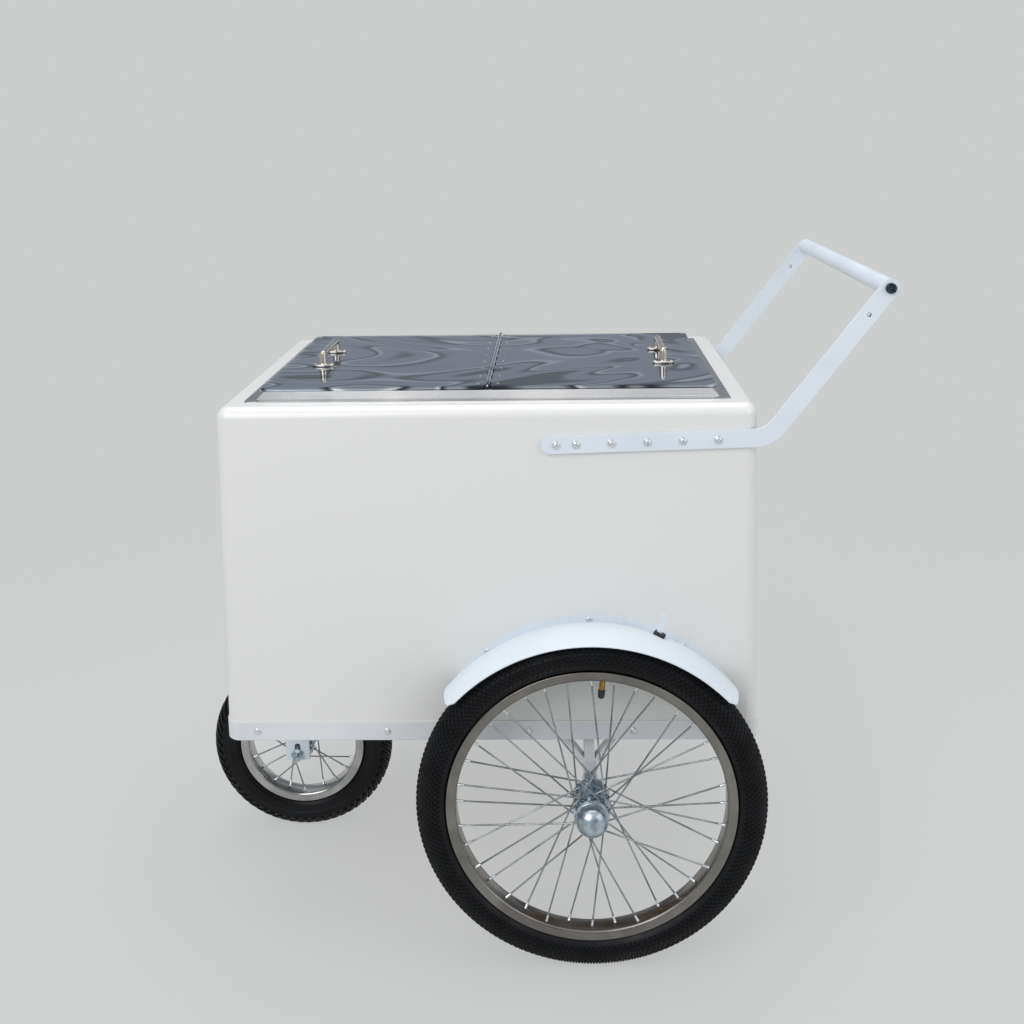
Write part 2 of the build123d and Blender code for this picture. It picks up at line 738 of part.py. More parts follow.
def build_base():
    """Folded base ring, floor panel, cross members and the bolts through the band."""
    outer = (body_length_base + 2 * bead_width, body_width + 2 * bead_width)
    corner = corner_radius + bead_width
    with BuildPart() as ring:
        add(rounded_block(outer[0], outer[1], base_bottom_z, base_top_z, corner, centre_shift))
        fillet(ring.faces().sort_by(Axis.Z)[0].edges(), base_sheet * 0.8)
        add(rounded_block(outer[0] - 2 * base_sheet, outer[1] - 2 * base_sheet, base_bottom_z,
                          base_top_z - base_sheet, corner - base_sheet, centre_shift), mode=Mode.SUBTRACT)
        add(rounded_block(outer[0] - 2 * base_flange, outer[1] - 2 * base_flange, base_bottom_z,
                          base_top_z, corner / 2, centre_shift), mode=Mode.SUBTRACT)
        for outward in (-1, 1):
            for x in cross_places:
                with BuildSketch(side_plane(outward * outer[1] / 2, outward, centre_shift + x, band_bolt_z())):
                    Circle(band_bolt_radius + running_gap)
                extrude(amount=-2 * base_sheet, mode=Mode.SUBTRACT)
    save(ring.part, "base_frame")

    inner = (body_length_base - 2 * shell_wall - 3 * slip_gap, body_width - 2 * shell_wall - 3 * slip_gap)
    save(rounded_block(inner[0], inner[1], base_top_z, base_top_z + floor_thickness,
                       corner_radius - shell_wall, centre_shift), "floor_panel")

    half = outer[1] / 2 - base_sheet
    top = base_top_z - base_sheet
    with BuildPart() as members:
        for x in cross_places:
            with BuildSketch(Plane.XZ.offset(-half)):
                with Locations((centre_shift + x, top - cross_height / 2)):
                    Rectangle(cross_width, cross_height)
                with Locations((centre_shift + x, top - cross_height / 2 - cross_sheet)):
                    Rectangle(cross_width - 2 * cross_sheet, cross_height, mode=Mode.SUBTRACT)
            extrude(amount=2 * half)
            for outward in (-1, 1):
                tab = side_plane(outward * half, outward, centre_shift + x, band_bolt_z() - 1)
                with BuildSketch(tab):
                    Rectangle(cross_width - 2 * cross_sheet, cross_height + 6)
                    with Locations((0, 1)):
                        Circle(band_bolt_radius + running_gap, mode=Mode.SUBTRACT)
                extrude(amount=-cross_sheet)
    save(members.part, "cross_members")

    face = outer[1] / 2
    with BuildPart() as bolts:
        for outward in (-1, 1):
            for x in cross_places:
                spot = (centre_shift + x, band_bolt_z())
                with BuildSketch(side_plane(outward * face, outward, *spot)):
                    Circle(band_bolt_radius)
                extrude(amount=-(base_sheet + cross_sheet + 5))
                with BuildSketch(side_plane(outward * face, outward, *spot)):
                    Circle(band_head_radius)
                extrude(amount=2.6, taper=38)
                nut_face = outward * (face - base_sheet - cross_sheet)
                with BuildSketch(side_plane(nut_face, outward, *spot)):
                    RegularPolygon(5, 6)
                extrude(amount=-4)
    save(bolts.part, "base_bolts")


# ================================================================ front fork and axles
def build_front_fork():
    """Two slotted plates under a crown plate that is screwed to the front cross member."""
    low = front_tyre_radius - fork_below_axle
    crown_top = base_top_z - base_sheet - cross_height
    crown_low = crown_top - fork_crown_thickness
    with BuildPart() as fork:
        with BuildSketch(Plane.XY.offset(crown_low)):
            with Locations((front_wheel_x, 0)):
                Rectangle(fork_plate_width, fork_gap + 2 * fork_plate_thickness + 30)
        extrude(amount=fork_crown_thickness)
        for outward in (-1, 1):
            with BuildSketch(side_plane(outward * fork_gap / 2, outward, front_wheel_x)):
                with Locations((0, (low + crown_low) / 2)):
                    Rectangle(fork_plate_width, crown_low - low)
                with Locations((0, front_tyre_radius + fork_slot_length / 2 - front_axle_radius - running_gap)):
                    SlotOverall(fork_slot_length, 2 * (front_axle_radius + running_gap), rotation=90,
                                mode=Mode.SUBTRACT)
            extrude(amount=fork_plate_thickness)
    save(fork.part, "front_fork")

    reach = fork_gap / 2 + fork_plate_thickness + 18
    with BuildPart() as axle:
        with BuildSketch(Plane.XZ.offset(-reach)):
            with Locations((front_wheel_x, front_tyre_radius)):
                Circle(front_axle_radius)
        extrude(amount=2 * reach)
        with BuildSketch(Plane.XZ.offset(-(fork_gap / 2 - running_gap))):
            with Locations((front_wheel_x, front_tyre_radius)):
                Circle(front_axle_radius + 4)
        extrude(amount=fork_gap / 2 - front_hub_half - 2 * slip_gap)
        with BuildSketch(Plane.XZ.offset(fork_gap / 2 - running_gap)):
            with Locations((front_wheel_x, front_tyre_radius)):
                Circle(front_axle_radius + 4)
        extrude(amount=-(fork_gap / 2 - front_hub_half - 2 * slip_gap))
    save(axle.part, "front_axle")


def build_rear_axle():
    """Straight axle bar, its brackets under the base, and every axle nut."""
    reach = half_track + rear_hub_outboard + nut_height + 4
    with BuildPart() as axle:
        with BuildSketch(Plane.XZ.offset(-reach)):
            with Locations((rear_wheel_x, rear_tyre_radius)):
                Circle(rear_axle_radius)
        extrude(amount=2 * reach)
    save(axle.part, "rear_axle")

    plate_top = base_top_z - base_sheet - cross_height
    strut_top = plate_top - strut_plate
    strut_y = body_width / 2 - base_sheet - bracket_depth - bracket_inset
    block_half = rear_axle_radius + bracket_wall
    block_top = rear_tyre_radius + block_half - 3
    with BuildPart() as brackets:
        for outward in (-1, 1):
            with BuildSketch(side_plane(outward * strut_y, outward, rear_wheel_x)):
                with Locations((0, strut_top + strut_plate / 2)):
                    Rectangle(2 * (cross_places[3] - rear_wheel_from_body) + 60, strut_plate)
                for lean in (-1, 1):
                    with BuildLine():
                        Polyline(
                            (lean * 3, block_top), (lean * (3 + strut_thickness * 1.5), block_top),
                            (lean * (strut_reach + strut_thickness * 1.6), strut_top + 1),
                            (lean * strut_reach, strut_top + 1),
                            close=True,
                        )
                    make_face()
                with BuildLine():
                    Polyline((-web_low_half, block_top), (web_low_half, block_top),
                             (web_top_half, strut_top + 1), (-web_top_half, strut_top + 1), close=True)
                make_face()
            extrude(amount=bracket_depth)
            with BuildSketch(side_plane(outward * strut_y, outward, rear_wheel_x, rear_tyre_radius)):
                RectangleRounded(bracket_width, 2 * block_half, 3)
            extrude(amount=bracket_depth + block_reach)
            with BuildSketch(side_plane(outward * strut_y, outward, rear_wheel_x, rear_tyre_radius)):
                Circle(rear_axle_radius + running_gap)
            extrude(amount=bracket_depth + block_reach, mode=Mode.SUBTRACT)
    save(brackets.part, "rear_brackets")

    with BuildPart() as nuts:
        for outward in (-1, 1):
            outer_face = outward * (half_track + rear_hub_outboard + slip_gap)
            with BuildSketch(side_plane(outer_face, outward, rear_wheel_x, rear_tyre_radius)):
                RegularPolygon(13.5, 6)
                Circle(rear_axle_radius + running_gap, mode=Mode.SUBTRACT)
            extrude(amount=nut_height)
            inner_face = outward * (half_track - rear_hub_inboard - slip_gap)
            collar_end = abs(inner_face) - strut_y - bracket_depth - block_reach - slip_gap
            with BuildSketch(side_plane(inner_face, outward, rear_wheel_x, rear_tyre_radius)):
                Circle(rear_axle_radius + 4)
                Circle(rear_axle_radius + running_gap, mode=Mode.SUBTRACT)
            extrude(amount=-collar_end)
            fork_face = outward * (fork_gap / 2 + fork_plate_thickness)
            with BuildSketch(side_plane(fork_face, outward, front_wheel_x, front_tyre_radius)):
                Circle(11)
                Circle(front_axle_radius + running_gap, mode=Mode.SUBTRACT)
            extrude(amount=1.6)
            with BuildSketch(side_plane(fork_face + outward * 1.6, outward, front_wheel_x, front_tyre_radius)):
                RegularPolygon(8.6, 6)
                Circle(front_axle_radius + running_gap, mode=Mode.SUBTRACT)
            extrude(amount=7.5)
    save(nuts.part, "axle_nuts")


# ================================================================ push handle
def arm_screw_places():
    """Screw centres along the straight part of a handle arm."""
    slope = sin(radians(arm_tilt))
    return [(centre_shift + arm_first_screw + step, arm_low_z + step * slope) for step in arm_screw_steps]


def arm_path():
    """Start, corner and top of an arm's centre line."""
    start_x = centre_shift + arm_first_screw - arm_end_margin
    slope = sin(radians(arm_tilt)) / cos(radians(arm_tilt))
    rise = sin(radians(arm_rise)) / cos(radians(arm_rise))
    start_z = arm_low_z - arm_end_margin * slope
    run = handle_height - start_z - slope * (handle_x - start_x)
    corner_x = handle_x - run / (rise - slope)
    corner_z = start_z + slope * (corner_x - start_x)
    return (start_x, start_z), (corner_x, corner_z), (handle_x, handle_height)


def build_push_handle():
    start, corner, top = arm_path()
    bell_x = top[0] - bell_hole_drop * cos(radians(arm_rise))
    bell_z = top[1] - bell_hole_drop * sin(radians(arm_rise))
    for side, outward in SIDES:
        base_y = arm_y if outward < 0 else -(arm_y + arm_thickness)
        with BuildPart() as arm:
            with BuildSketch(Plane.XZ.offset(base_y)):
                with BuildLine():
                    FilletPolyline(start, corner, top, radius=arm_bend_radius)
                trace(line_width=arm_width)
                with Locations(start, top):
                    Circle(arm_width / 2)
                with Locations(*arm_screw_places()):
                    Circle(screw_radius + running_gap, mode=Mode.SUBTRACT)
                with Locations(top):
                    Circle(handle_bolt_radius + running_gap, mode=Mode.SUBTRACT)
                with Locations((bell_x, bell_z)):
                    Circle(bell_hole_radius, mode=Mode.SUBTRACT)
            extrude(amount=arm_thickness)
        save(arm.part, f"{side}_handle_arm")

    with BuildPart() as tube:
        with BuildSketch(Plane.XZ.offset(-arm_y)):
            with Locations(top):
                Circle(handle_tube_radius)
        extrude(amount=2 * arm_y)
        with BuildSketch(Plane.XZ.offset(-arm_y + handle_plug)):
            with Locations(top):
                Circle(handle_tube_radius - handle_tube_wall)
        extrude(amount=2 * (arm_y - handle_plug), mode=Mode.SUBTRACT)
        for outward in (-1, 1):
            with BuildSketch(side_plane(outward * arm_y, outward, *top)):
                Circle(handle_bolt_radius + running_gap)
            extrude(amount=-handle_plug, mode=Mode.SUBTRACT)
    save(tube.part, "handle_tube")

    with BuildPart() as bolts:
        for outward in (-1, 1):
            face = outward * (arm_y + arm_thickness)
            with BuildSketch(side_plane(face, outward, *top)):
                Circle(handle_bolt_radius)
            extrude(amount=-(arm_thickness + handle_plug - 1))
            with BuildSketch(side_plane(face, outward, *top)):
                Circle(handle_bolt_head_radius)
            extrude(amount=handle_bolt_head_height)
            with BuildSketch(side_plane(face + outward * handle_bolt_head_height, outward, *top)):
                RegularPolygon(3.4, 6)
            extrude(amount=-2.5, mode=Mode.SUBTRACT)
    save(bolts.part, "handle_bolts")

    with BuildPart() as screws:
        for outward in (-1, 1):
            face = outward * (arm_y + arm_thickness)
            for x, z in arm_screw_places():
                with BuildSketch(side_plane(face, outward, x, z)):
                    Circle(screw_radius)
                extrude(amount=-(arm_thickness + shell_wall + 6))
                with BuildSketch(side_plane(face, outward, x, z)):
                    Circle(washer_radius)
                extrude(amount=washer_height)
                with BuildSketch(side_plane(face + outward * washer_height, outward, x, z)):
                    Circle(screw_head_radius)
                extrude(amount=screw_head_height, taper=20)
    save(screws.part, "handle_screws")


# ================================================================ fenders
def fender_point(angle, radius):
    """Point of the fender's arc, angle from straight up, towards the handle."""
    turn = radians(angle)
    return rear_wheel_x + radius * sin(turn), fender_centre_z + radius * cos(turn)


def fender_screw_places():
    """Centres of the screws that hold a fender to the body's side."""
    return [fender_point(angle, fender_screw_radius) for angle in fender_screw_angles]


def build_fenders():
    wall = fender_wall_y + fender_sheet / 2 - half_track
    for side, outward in SIDES:
        plane = axle_plane(rear_wheel_x, outward * half_track, fender_centre_z, outward)
        axis = Axis((rear_wheel_x, 0, fender_centre_z), (0, 1, 0))
        with BuildPart() as fender:
            with BuildSketch(plane):
                with BuildLine():
                    Line((wall, fender_edge_radius), (wall, fender_root_radius))
                    ThreePointArc((wall, fender_root_radius), (-fender_crown_inboard, fender_crown_radius),
                                  (fender_lip_outboard, fender_lip_radius))
                trace(line_width=fender_sheet)
            revolve(axis=axis, revolution_arc=2 * fender_half_angle)
        turned = fender.part.rotate(axis, -fender_half_angle)
        with BuildPart() as finished:
            add(turned)
            for x, z in fender_screw_places():
                with BuildSketch(side_plane(outward * (fender_wall_y + 5), outward, x, z)):
                    Circle(screw_radius + running_gap)
                extrude(amount=-12, mode=Mode.SUBTRACT)
            slot_x, slot_z = fender_point(brake_angle, fender_crown_radius)
            slot_up = (sin(radians(brake_angle)), 0, cos(radians(brake_angle)))
            with BuildSketch(Plane(origin=(slot_x, outward * (half_track - brake_inboard), slot_z),
                                   x_dir=(0, 1, 0), z_dir=slot_up)):
                Rectangle(brake_lever_thickness + 2, 30)
            extrude(amount=8, both=True, mode=Mode.SUBTRACT)
        save(finished.part, f"{side}_fender")

    with BuildPart() as screws:
        for outward in (-1, 1):
            for x, z in fender_screw_places():
                face = outward * (fender_wall_y + fender_sheet)
                with BuildSketch(side_plane(face, outward, x, z)):
                    Circle(screw_radius)
                extrude(amount=-(fender_sheet + shell_wall + 6))
                with BuildSketch(side_plane(face, outward, x, z)):
                    Circle(screw_head_radius)
                extrude(amount=screw_head_height, taper=20)
    save(screws.part, "fender_screws")


def build_brakes():
    """Cam lever on each fender: a blade through the slot, turning on a pin below the sheet."""
    pivot_radius = fender_crown_radius - fender_sheet / 2 - brake_pivot_below
    px, pz = fender_point(brake_angle, pivot_radius)
    lever_y = half_track - brake_inboard
    with BuildPart() as pins:
        for outward in (-1, 1):
            with BuildSketch(side_plane(outward * (lever_y + 7), outward, px, pz)):
                Circle(brake_pin_radius)
            extrude(amount=-14)
            for ear in (-1, 1):
                ear_y = outward * (lever_y + ear * brake_ear_offset)
                with BuildSketch(side_plane(ear_y, outward, px, pz)):
                    with Locations(Location((0, 0, 0), (0, 0, outward * brake_angle))):
                        with Locations((0, 0.6)):
                            Rectangle(brake_ear_length, 6.6)
                        Circle(brake_pin_radius + running_gap, mode=Mode.SUBTRACT)
                extrude(amount=brake_ear_thickness)
    save(pins.part, "brake_brackets")
    for side, outward in SIDES:
        with BuildPart() as lever:
            with BuildSketch(side_plane(outward * (lever_y - brake_lever_thickness / 2), outward, px, pz)):
                with Locations(Location((0, 0, 0), (0, 0, outward * (brake_angle - 8)))):
                    with Locations((0, brake_lever_height / 2)):
                        Rectangle(brake_lever_width, brake_lever_height)
                    Circle(brake_lever_width / 2)
                    with Locations((0, brake_lever_height)):
                        Circle(brake_lever_width / 2)
                    Circle(brake_pin_radius + running_gap, mode=Mode.SUBTRACT)
            extrude(amount=brake_lever_thickness)
        save(lever.part, f"{side}_brake_lever")


def main():
    os.makedirs("parts", exist_ok=True)
    build_rear_wheels()
    build_front_wheel()
    build_outer_shell()
    build_insulation()
    build_inner_liner()
    build_top_trim()
    build_hinge_beam()
    for name, lid_side in LIDS:
        build_lid(name, lid_side)
    build_base()
    build_front_fork()
    build_rear_axle()
    build_push_handle()
    build_fenders()
    build_brakes()


main()
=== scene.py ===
import json
import logging
import math
from dataclasses import dataclass
from enum import Enum
from typing import Callable, Iterable, Sequence

import bpy
from mathutils import Matrix, Vector


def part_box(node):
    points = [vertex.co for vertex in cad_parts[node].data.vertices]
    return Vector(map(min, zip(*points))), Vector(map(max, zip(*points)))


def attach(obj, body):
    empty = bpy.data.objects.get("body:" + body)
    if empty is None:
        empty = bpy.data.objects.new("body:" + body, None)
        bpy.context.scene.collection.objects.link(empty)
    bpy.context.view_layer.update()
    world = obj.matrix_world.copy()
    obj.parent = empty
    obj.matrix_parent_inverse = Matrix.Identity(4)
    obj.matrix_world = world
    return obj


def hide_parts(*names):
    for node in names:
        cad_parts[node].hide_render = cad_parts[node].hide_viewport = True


# Looks of a push vending cart: a gelcoated insulated tub on two spoked wheels and a smaller front
# wheel, with mirror stainless lids, powder coated steelwork and a push handle. Metres, +Z up.

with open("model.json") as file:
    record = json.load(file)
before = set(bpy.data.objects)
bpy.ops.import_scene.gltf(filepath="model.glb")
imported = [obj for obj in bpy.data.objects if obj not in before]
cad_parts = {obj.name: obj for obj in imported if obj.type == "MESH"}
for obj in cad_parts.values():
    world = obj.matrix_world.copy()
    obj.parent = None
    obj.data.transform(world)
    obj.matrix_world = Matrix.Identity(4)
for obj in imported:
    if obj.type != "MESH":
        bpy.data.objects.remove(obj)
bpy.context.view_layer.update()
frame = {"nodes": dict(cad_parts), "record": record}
MM = 0.001
TINY = 1e-6
log = logging.getLogger("push_cart")


class Side(Enum):
    """The two long sides of the cart, by the sign of Y."""

    LEFT = -1
    RIGHT = 1

    @property
    def word(self) -> str:
        """The side's name as the frame spells it."""
        return self.name.lower()


class Drive(Enum):
    """The drive that a screw's head carries."""

    PHILLIPS = "phillips"
    DOME = "dome"


# ================================================================ finishes
def linear(colour: str) -> tuple[float, float, float, float]:
    """Turn an sRGB hex colour to linear.

    Args:
        colour: Six hex digits.

    Returns:
        Linear red, green, blue and an alpha of one.
    """
    parts = [int(colour[i:i + 2], 16) / 255 for i in (0, 2, 4)]
    shades = [p / 12.92 if p <= 0.04045 else ((p + 0.055) / 1.055) ** 2.4 for p in parts]
    return (*shades, 1.0)


def per_metre(size_mm: float) -> float:
    """Repeats in a metre of a pattern whose feature is this many millimetres."""
    return 1000 / size_mm


def add_node(tree: bpy.types.NodeTree, kind: str, settings: dict | None = None,
             links: dict | None = None) -> bpy.types.Node:
    """Add one node, set its values and wire its inputs.

    Args:
        tree: The node tree it goes in.
        kind: The node's Blender type.
        settings: Values by input name, input number or property name.
        links: Source sockets by input name or number.

    Returns:
        The new node.
    """
    node = tree.nodes.new(kind)
    for key, value in (settings or {}).items():
        if isinstance(key, int) or key in node.inputs:
            node.inputs[key].default_value = value
        else:
            setattr(node, key, value)
    for key, source in (links or {}).items():
        tree.links.new(source, node.inputs[key])
    return node


def set_stops(node: bpy.types.Node, stops: Sequence[tuple[float, str]]) -> None:
    """Give a colour ramp its stops.

    Args:
        node: The colour ramp.
        stops: Places from 0 to 1, each with an sRGB hex colour.
    """
    elements = node.color_ramp.elements
    while len(elements) < len(stops):
        elements.new(1.0)
    for element, (place, colour) in zip(elements, stops):
        element.position = place
        element.color = linear(colour)


def noise(tree: bpy.types.NodeTree, place: bpy.types.NodeSocket,
          size_mm: float | tuple[float, float, float], detail: float,
          **settings: float) -> bpy.types.NodeSocket:
    """Add a noise and return its value.

    Args:
        tree: The material's nodes.
        place: The object coordinates.
        size_mm: Size of its features, or one size for each axis where it is stretched.
        detail: How many finer layers it has.
        settings: Further inputs of the noise by name.

    Returns:
        The noise's value.
    """
    scale = 1.0
    if isinstance(size_mm, tuple):
        stretch = {"Scale": tuple(per_metre(size) for size in size_mm)}
        place = add_node(tree, "ShaderNodeMapping", stretch, {"Vector": place}).outputs["Vector"]
    else:
        scale = per_metre(size_mm)
    return add_node(tree, "ShaderNodeTexNoise", {"Scale": scale, "Detail": detail, **settings},
                    {"Vector": place}).outputs["Fac"]


def tint(tree: bpy.types.NodeTree, shader: bpy.types.Node, value: bpy.types.NodeSocket,
         stops: Sequence[tuple[float, str]], blend: str = "LINEAR") -> None:
    """Colour a surface by a pattern.

    Args:
        tree: The material's nodes.
        shader: Its principled shader.
        value: The pattern's value.
        stops: Places from 0 to 1, each with an sRGB hex colour.
        blend: How the ramp runs from stop to stop.
    """
    ramp = add_node(tree, "ShaderNodeValToRGB", links={"Fac": value})
    set_stops(ramp, stops)
    ramp.color_ramp.interpolation = blend
    tree.links.new(ramp.outputs["Color"], shader.inputs["Base Color"])


def polish(tree: bpy.types.NodeTree, shader: bpy.types.Node, value: bpy.types.NodeSocket,
           low: float, high: float) -> None:
    """Vary a surface's roughness with a pattern.

    Args:
        tree: The material's nodes.
        shader: Its principled shader.
        value: The pattern's value.
        low: Roughness where the pattern is low.
        high: Roughness where it is high.
    """
    spread = {"From Min": 0.3, "From Max": 0.7, "To Min": low, "To Max": high}
    gloss = add_node(tree, "ShaderNodeMapRange", spread, {"Value": value})
    tree.links.new(gloss.outputs["Result"], shader.inputs["Roughness"])


def emboss(tree: bpy.types.NodeTree, shader: bpy.types.Node, value: bpy.types.NodeSocket,
           strength: float, depth_mm: float,
           under: bpy.types.NodeSocket | None = None) -> bpy.types.NodeSocket:
    """Raise a surface by a pattern.

    Args:
        tree: The material's nodes.
        shader: Its principled shader.
        value: The pattern's value.
        strength: Share of the relief that shows.
        depth_mm: Height of the relief.
        under: Relief that this one lies on.

    Returns:
        The raised surface's normal.
    """
    links = {"Height": value, "Normal": under} if under else {"Height": value}
    skin = add_node(tree, "ShaderNodeBump", {"Strength": strength, "Distance": depth_mm * MM}, links)
    tree.links.new(skin.outputs["Normal"], shader.inputs["Normal"])
    return skin.outputs["Normal"]


@dataclass(frozen=True)
class Finish:
    """What every finish of the cart has in common."""

    name: str
    colour: str
    roughness: float
    metallic: float = 0.0
    coat: float = 0.0

    def material(self) -> bpy.types.Material:
        """Make the material, or return it when it is made already."""
        known = bpy.data.materials.get(self.name)
        if known:
            return known
        made = bpy.data.materials.new(self.name)
        made.use_nodes = True
        tree = made.node_tree
        shader = tree.nodes["Principled BSDF"]
        shader.inputs["Base Color"].default_value = linear(self.colour)
        shader.inputs["Metallic"].default_value = self.metallic
        shader.inputs["Roughness"].default_value = self.roughness
        shader.inputs["Coat Weight"].default_value = self.coat
        if self.coat:
            shader.inputs["Coat Roughness"].default_value = 0.08
        place = add_node(tree, "ShaderNodeTexCoord").outputs["Object"]
        self.dress(tree, shader, place)
        return made

    def dress(self, tree: bpy.types.NodeTree, shader: bpy.types.Node,
              place: bpy.types.NodeSocket) -> None:
        """Add the finish's own pattern.

        Args:
            tree: The material's nodes.
            shader: Its principled shader.
            place: The object coordinates.
        """
        raise NotImplementedError


@dataclass(frozen=True)
class Coating(Finish):
    """Moulded or sprayed surface: a slow drift of tone, and an orange peel skin."""

    drift: str = "FFFFFF"
    drift_mm: float = 160.0
    peel_mm: float = 3.0
    peel_depth: float = 0.02
    wave_mm: float = 0.0
    wave_depth: float = 0.0
    soil: float = 0.08
    sheen: float = 0.5

    def dress(self, tree: bpy.types.NodeTree, shader: bpy.types.Node,
              place: bpy.types.NodeSocket) -> None:
        """Drift between two tones, vary the gloss and raise the peel. Args: as in Finish.dress."""
        cloud = noise(tree, place, self.drift_mm, 1.5)
        tint(tree, shader, cloud, ((0.34, self.drift), (0.66, self.colour)), "EASE")
        shader.inputs["Specular IOR Level"].default_value = self.sheen
        polish(tree, shader, cloud, self.roughness - self.soil, self.roughness + self.soil)
        skin = emboss(tree, shader, noise(tree, place, self.peel_mm, 2.0), 0.6, self.peel_depth)
        if self.wave_mm:
            emboss(tree, shader, noise(tree, place, self.wave_mm, 1.0), 0.8, self.wave_depth, skin)


@dataclass(frozen=True)
class Metal(Finish):
    """Bare or plated metal: mottled tone, and hairlines drawn along one direction."""

    drift: str = "FFFFFF"
    drift_mm: float = 25.0
    hair_mm: tuple[float, float, float] = (2.0, 2.0, 2.0)
    hair_depth: float = 0.02

    def dress(self, tree: bpy.types.NodeTree, shader: bpy.types.Node,
              place: bpy.types.NodeSocket) -> None:
        """Mottle the tone, and roughen it with hairlines. Args: as in Finish.dress."""
        cloud = noise(tree, place, self.drift_mm, 5.0)
        tint(tree, shader, cloud, ((0.36, self.drift), (0.64, self.colour)))
        hair = noise(tree, place, self.hair_mm, 3.0)
        polish(tree, shader, hair, self.roughness * 0.75, self.roughness * 1.3)
        emboss(tree, shader, hair, 0.5, self.hair_depth)


@dataclass(frozen=True)
class MirrorSheet(Finish):
    """Mirror polished thin sheet that is not flat: soft buckles, and dark and light wandering streaks
    painted on as reflections.
    """

    # Colours of the painted reflections: dark streaks and light streaks.
    painted_dark_reflection: str = "3A404A"
    light: str = "DDE1E7"
    reflection_streak_mm: tuple[float, float, float] = (430.0, 300.0, 300.0)
    buckle_mm: float = 1.2

    def dress(self, tree: bpy.types.NodeTree, shader: bpy.types.Node,
              place: bpy.types.NodeSocket) -> None:
        """Paint dark and light reflection streaks along the contours of a slow swell, and buckle it too.
        Args: as in Finish.dress.
        """
        swell = noise(tree, place, self.reflection_streak_mm, 1.0, Roughness=0.35, Distortion=1.9)
        plain, painted_dark_reflection, light = self.colour, self.painted_dark_reflection, self.light
        # Painted reflections: dark and light bands of colour along the swell's contours.
        tint(tree, shader, swell, (
            (0.0, painted_dark_reflection), (0.34, painted_dark_reflection), (0.365, plain), (0.405, plain), (0.435, painted_dark_reflection), (0.45, light),
            (0.47, plain), (0.53, plain), (0.56, painted_dark_reflection), (0.575, light), (0.60, plain),
            (0.645, plain), (0.68, painted_dark_reflection), (1.0, painted_dark_reflection)), "EASE")
        emboss(tree, shader, swell, 0.5, self.buckle_mm)


@dataclass(frozen=True)
class Turned(Finish):
    """Rolled or turned metal: fine rings round the axle, and a slow mottle."""

    drift: str = "FFFFFF"
    axle: tuple[float, float, float] = (0.0, 0.0, 0.0)
    ring_mm: float = 1.6
    ring_depth: float = 0.02
    mottle_mm: float = 45.0

    def dress(self, tree: bpy.types.NodeTree, shader: bpy.types.Node,
              place: bpy.types.NodeSocket) -> None:
        """Ring the surface by its distance from the axle. Args: as in Finish.dress."""
        centred = add_node(tree, "ShaderNodeMapping", {"Location": tuple(-v for v in self.axle)},
                           {"Vector": place})
        flat = add_node(tree, "ShaderNodeVectorMath", {"operation": "MULTIPLY", 1: (1.0, 0.0, 1.0)},
                        {0: centred.outputs["Vector"]})
        reach = add_node(tree, "ShaderNodeVectorMath", {"operation": "LENGTH"}, {0: flat.outputs["Vector"]})
        rings = add_node(tree, "ShaderNodeTexNoise",
                         {"noise_dimensions": "1D", "Scale": per_metre(self.ring_mm), "Detail": 3.0},
                         {"W": reach.outputs["Value"]}).outputs["Fac"]
        cloud = noise(tree, place, self.mottle_mm, 5.0)
        tint(tree, shader, cloud, ((0.36, self.drift), (0.64, self.colour)))
        polish(tree, shader, rings, self.roughness * 0.8, self.roughness * 1.25)
        emboss(tree, shader, rings, 0.4, self.ring_depth)


@dataclass(frozen=True)
class Timber(Finish):
    """Rotary cut veneer: long darker bands along the sheet."""

    grain: str = "8A6238"
    band_mm: tuple[float, float, float] = (220.0, 9.0, 9.0)

    def dress(self, tree: bpy.types.NodeTree, shader: bpy.types.Node,
              place: bpy.types.NodeSocket) -> None:
        """Stretch a noise along X for the bands, and raise them. Args: as in Finish.dress."""
        bands = noise(tree, place, self.band_mm, 6.0, Distortion=0.6)
        tint(tree, shader, bands, ((0.35, self.grain), (0.65, self.colour)))
        emboss(tree, shader, bands, 0.4, 0.2)


# Polyester gelcoat, moulded: one even warm white, softly glossy, with a barely raised peel.
GELCOAT = Coating("gelcoat_moulded_warm_white", "E3E3E1", 0.34, coat=0.45, drift="E3E3E1",
                  drift_mm=420, peel_mm=7, peel_depth=0.02, soil=0.03)
# Polyester powder coat: bluish white with a fine peel, so its highlights break up a little.
POWDER = Coating("powder_coat_cool_white", "DFE6EF", 0.33, coat=0.1, drift="D9E1EA",
                 drift_mm=90, peel_mm=2.2, peel_depth=0.02)
# The same coat on the fenders, duller, so that their rolled tops do not flare in the light.
FENDER_POWDER = Coating("powder_coat_bright_white", "E0E7EE", 0.55, drift="DCE3EA",
                        drift_mm=110, peel_mm=2.2, peel_depth=0.04, sheen=0.25)
# The same powder coat in light grey, on the pressed ring and the members under it.
FRAME_POWDER = Coating("powder_coat_light_grey", "DEE1E4", 0.36, drift="D7DADE",
                       drift_mm=110, peel_mm=2.2, peel_depth=0.05)
# Stainless sheet polished to a mirror: slate, with painted dark and light reflection streaks where thin
# sheet buckles.
MIRROR = MirrorSheet("stainless_mirror_polished", "A2AAB5", 0.07, 1.0)
# Stainless trim and lid rivets with a fine brushed grain along the cart: paler than the lids.
BRUSHED = Metal("stainless_brushed_trim", "B2B2B2", 0.24, 1.0, drift="9FA0A2", drift_mm=120,
                hair_mm=(60.0, 0.8, 0.8))
# Nickel plated zinc casting: warm silver, with the soft unevenness of a casting.
NICKEL = Metal("nickel_plated_casting", "CBC6BD", 0.2, 1.0, drift="AFA9A0", drift_mm=14,
               hair_mm=(5.0, 5.0, 5.0), hair_depth=0.12)
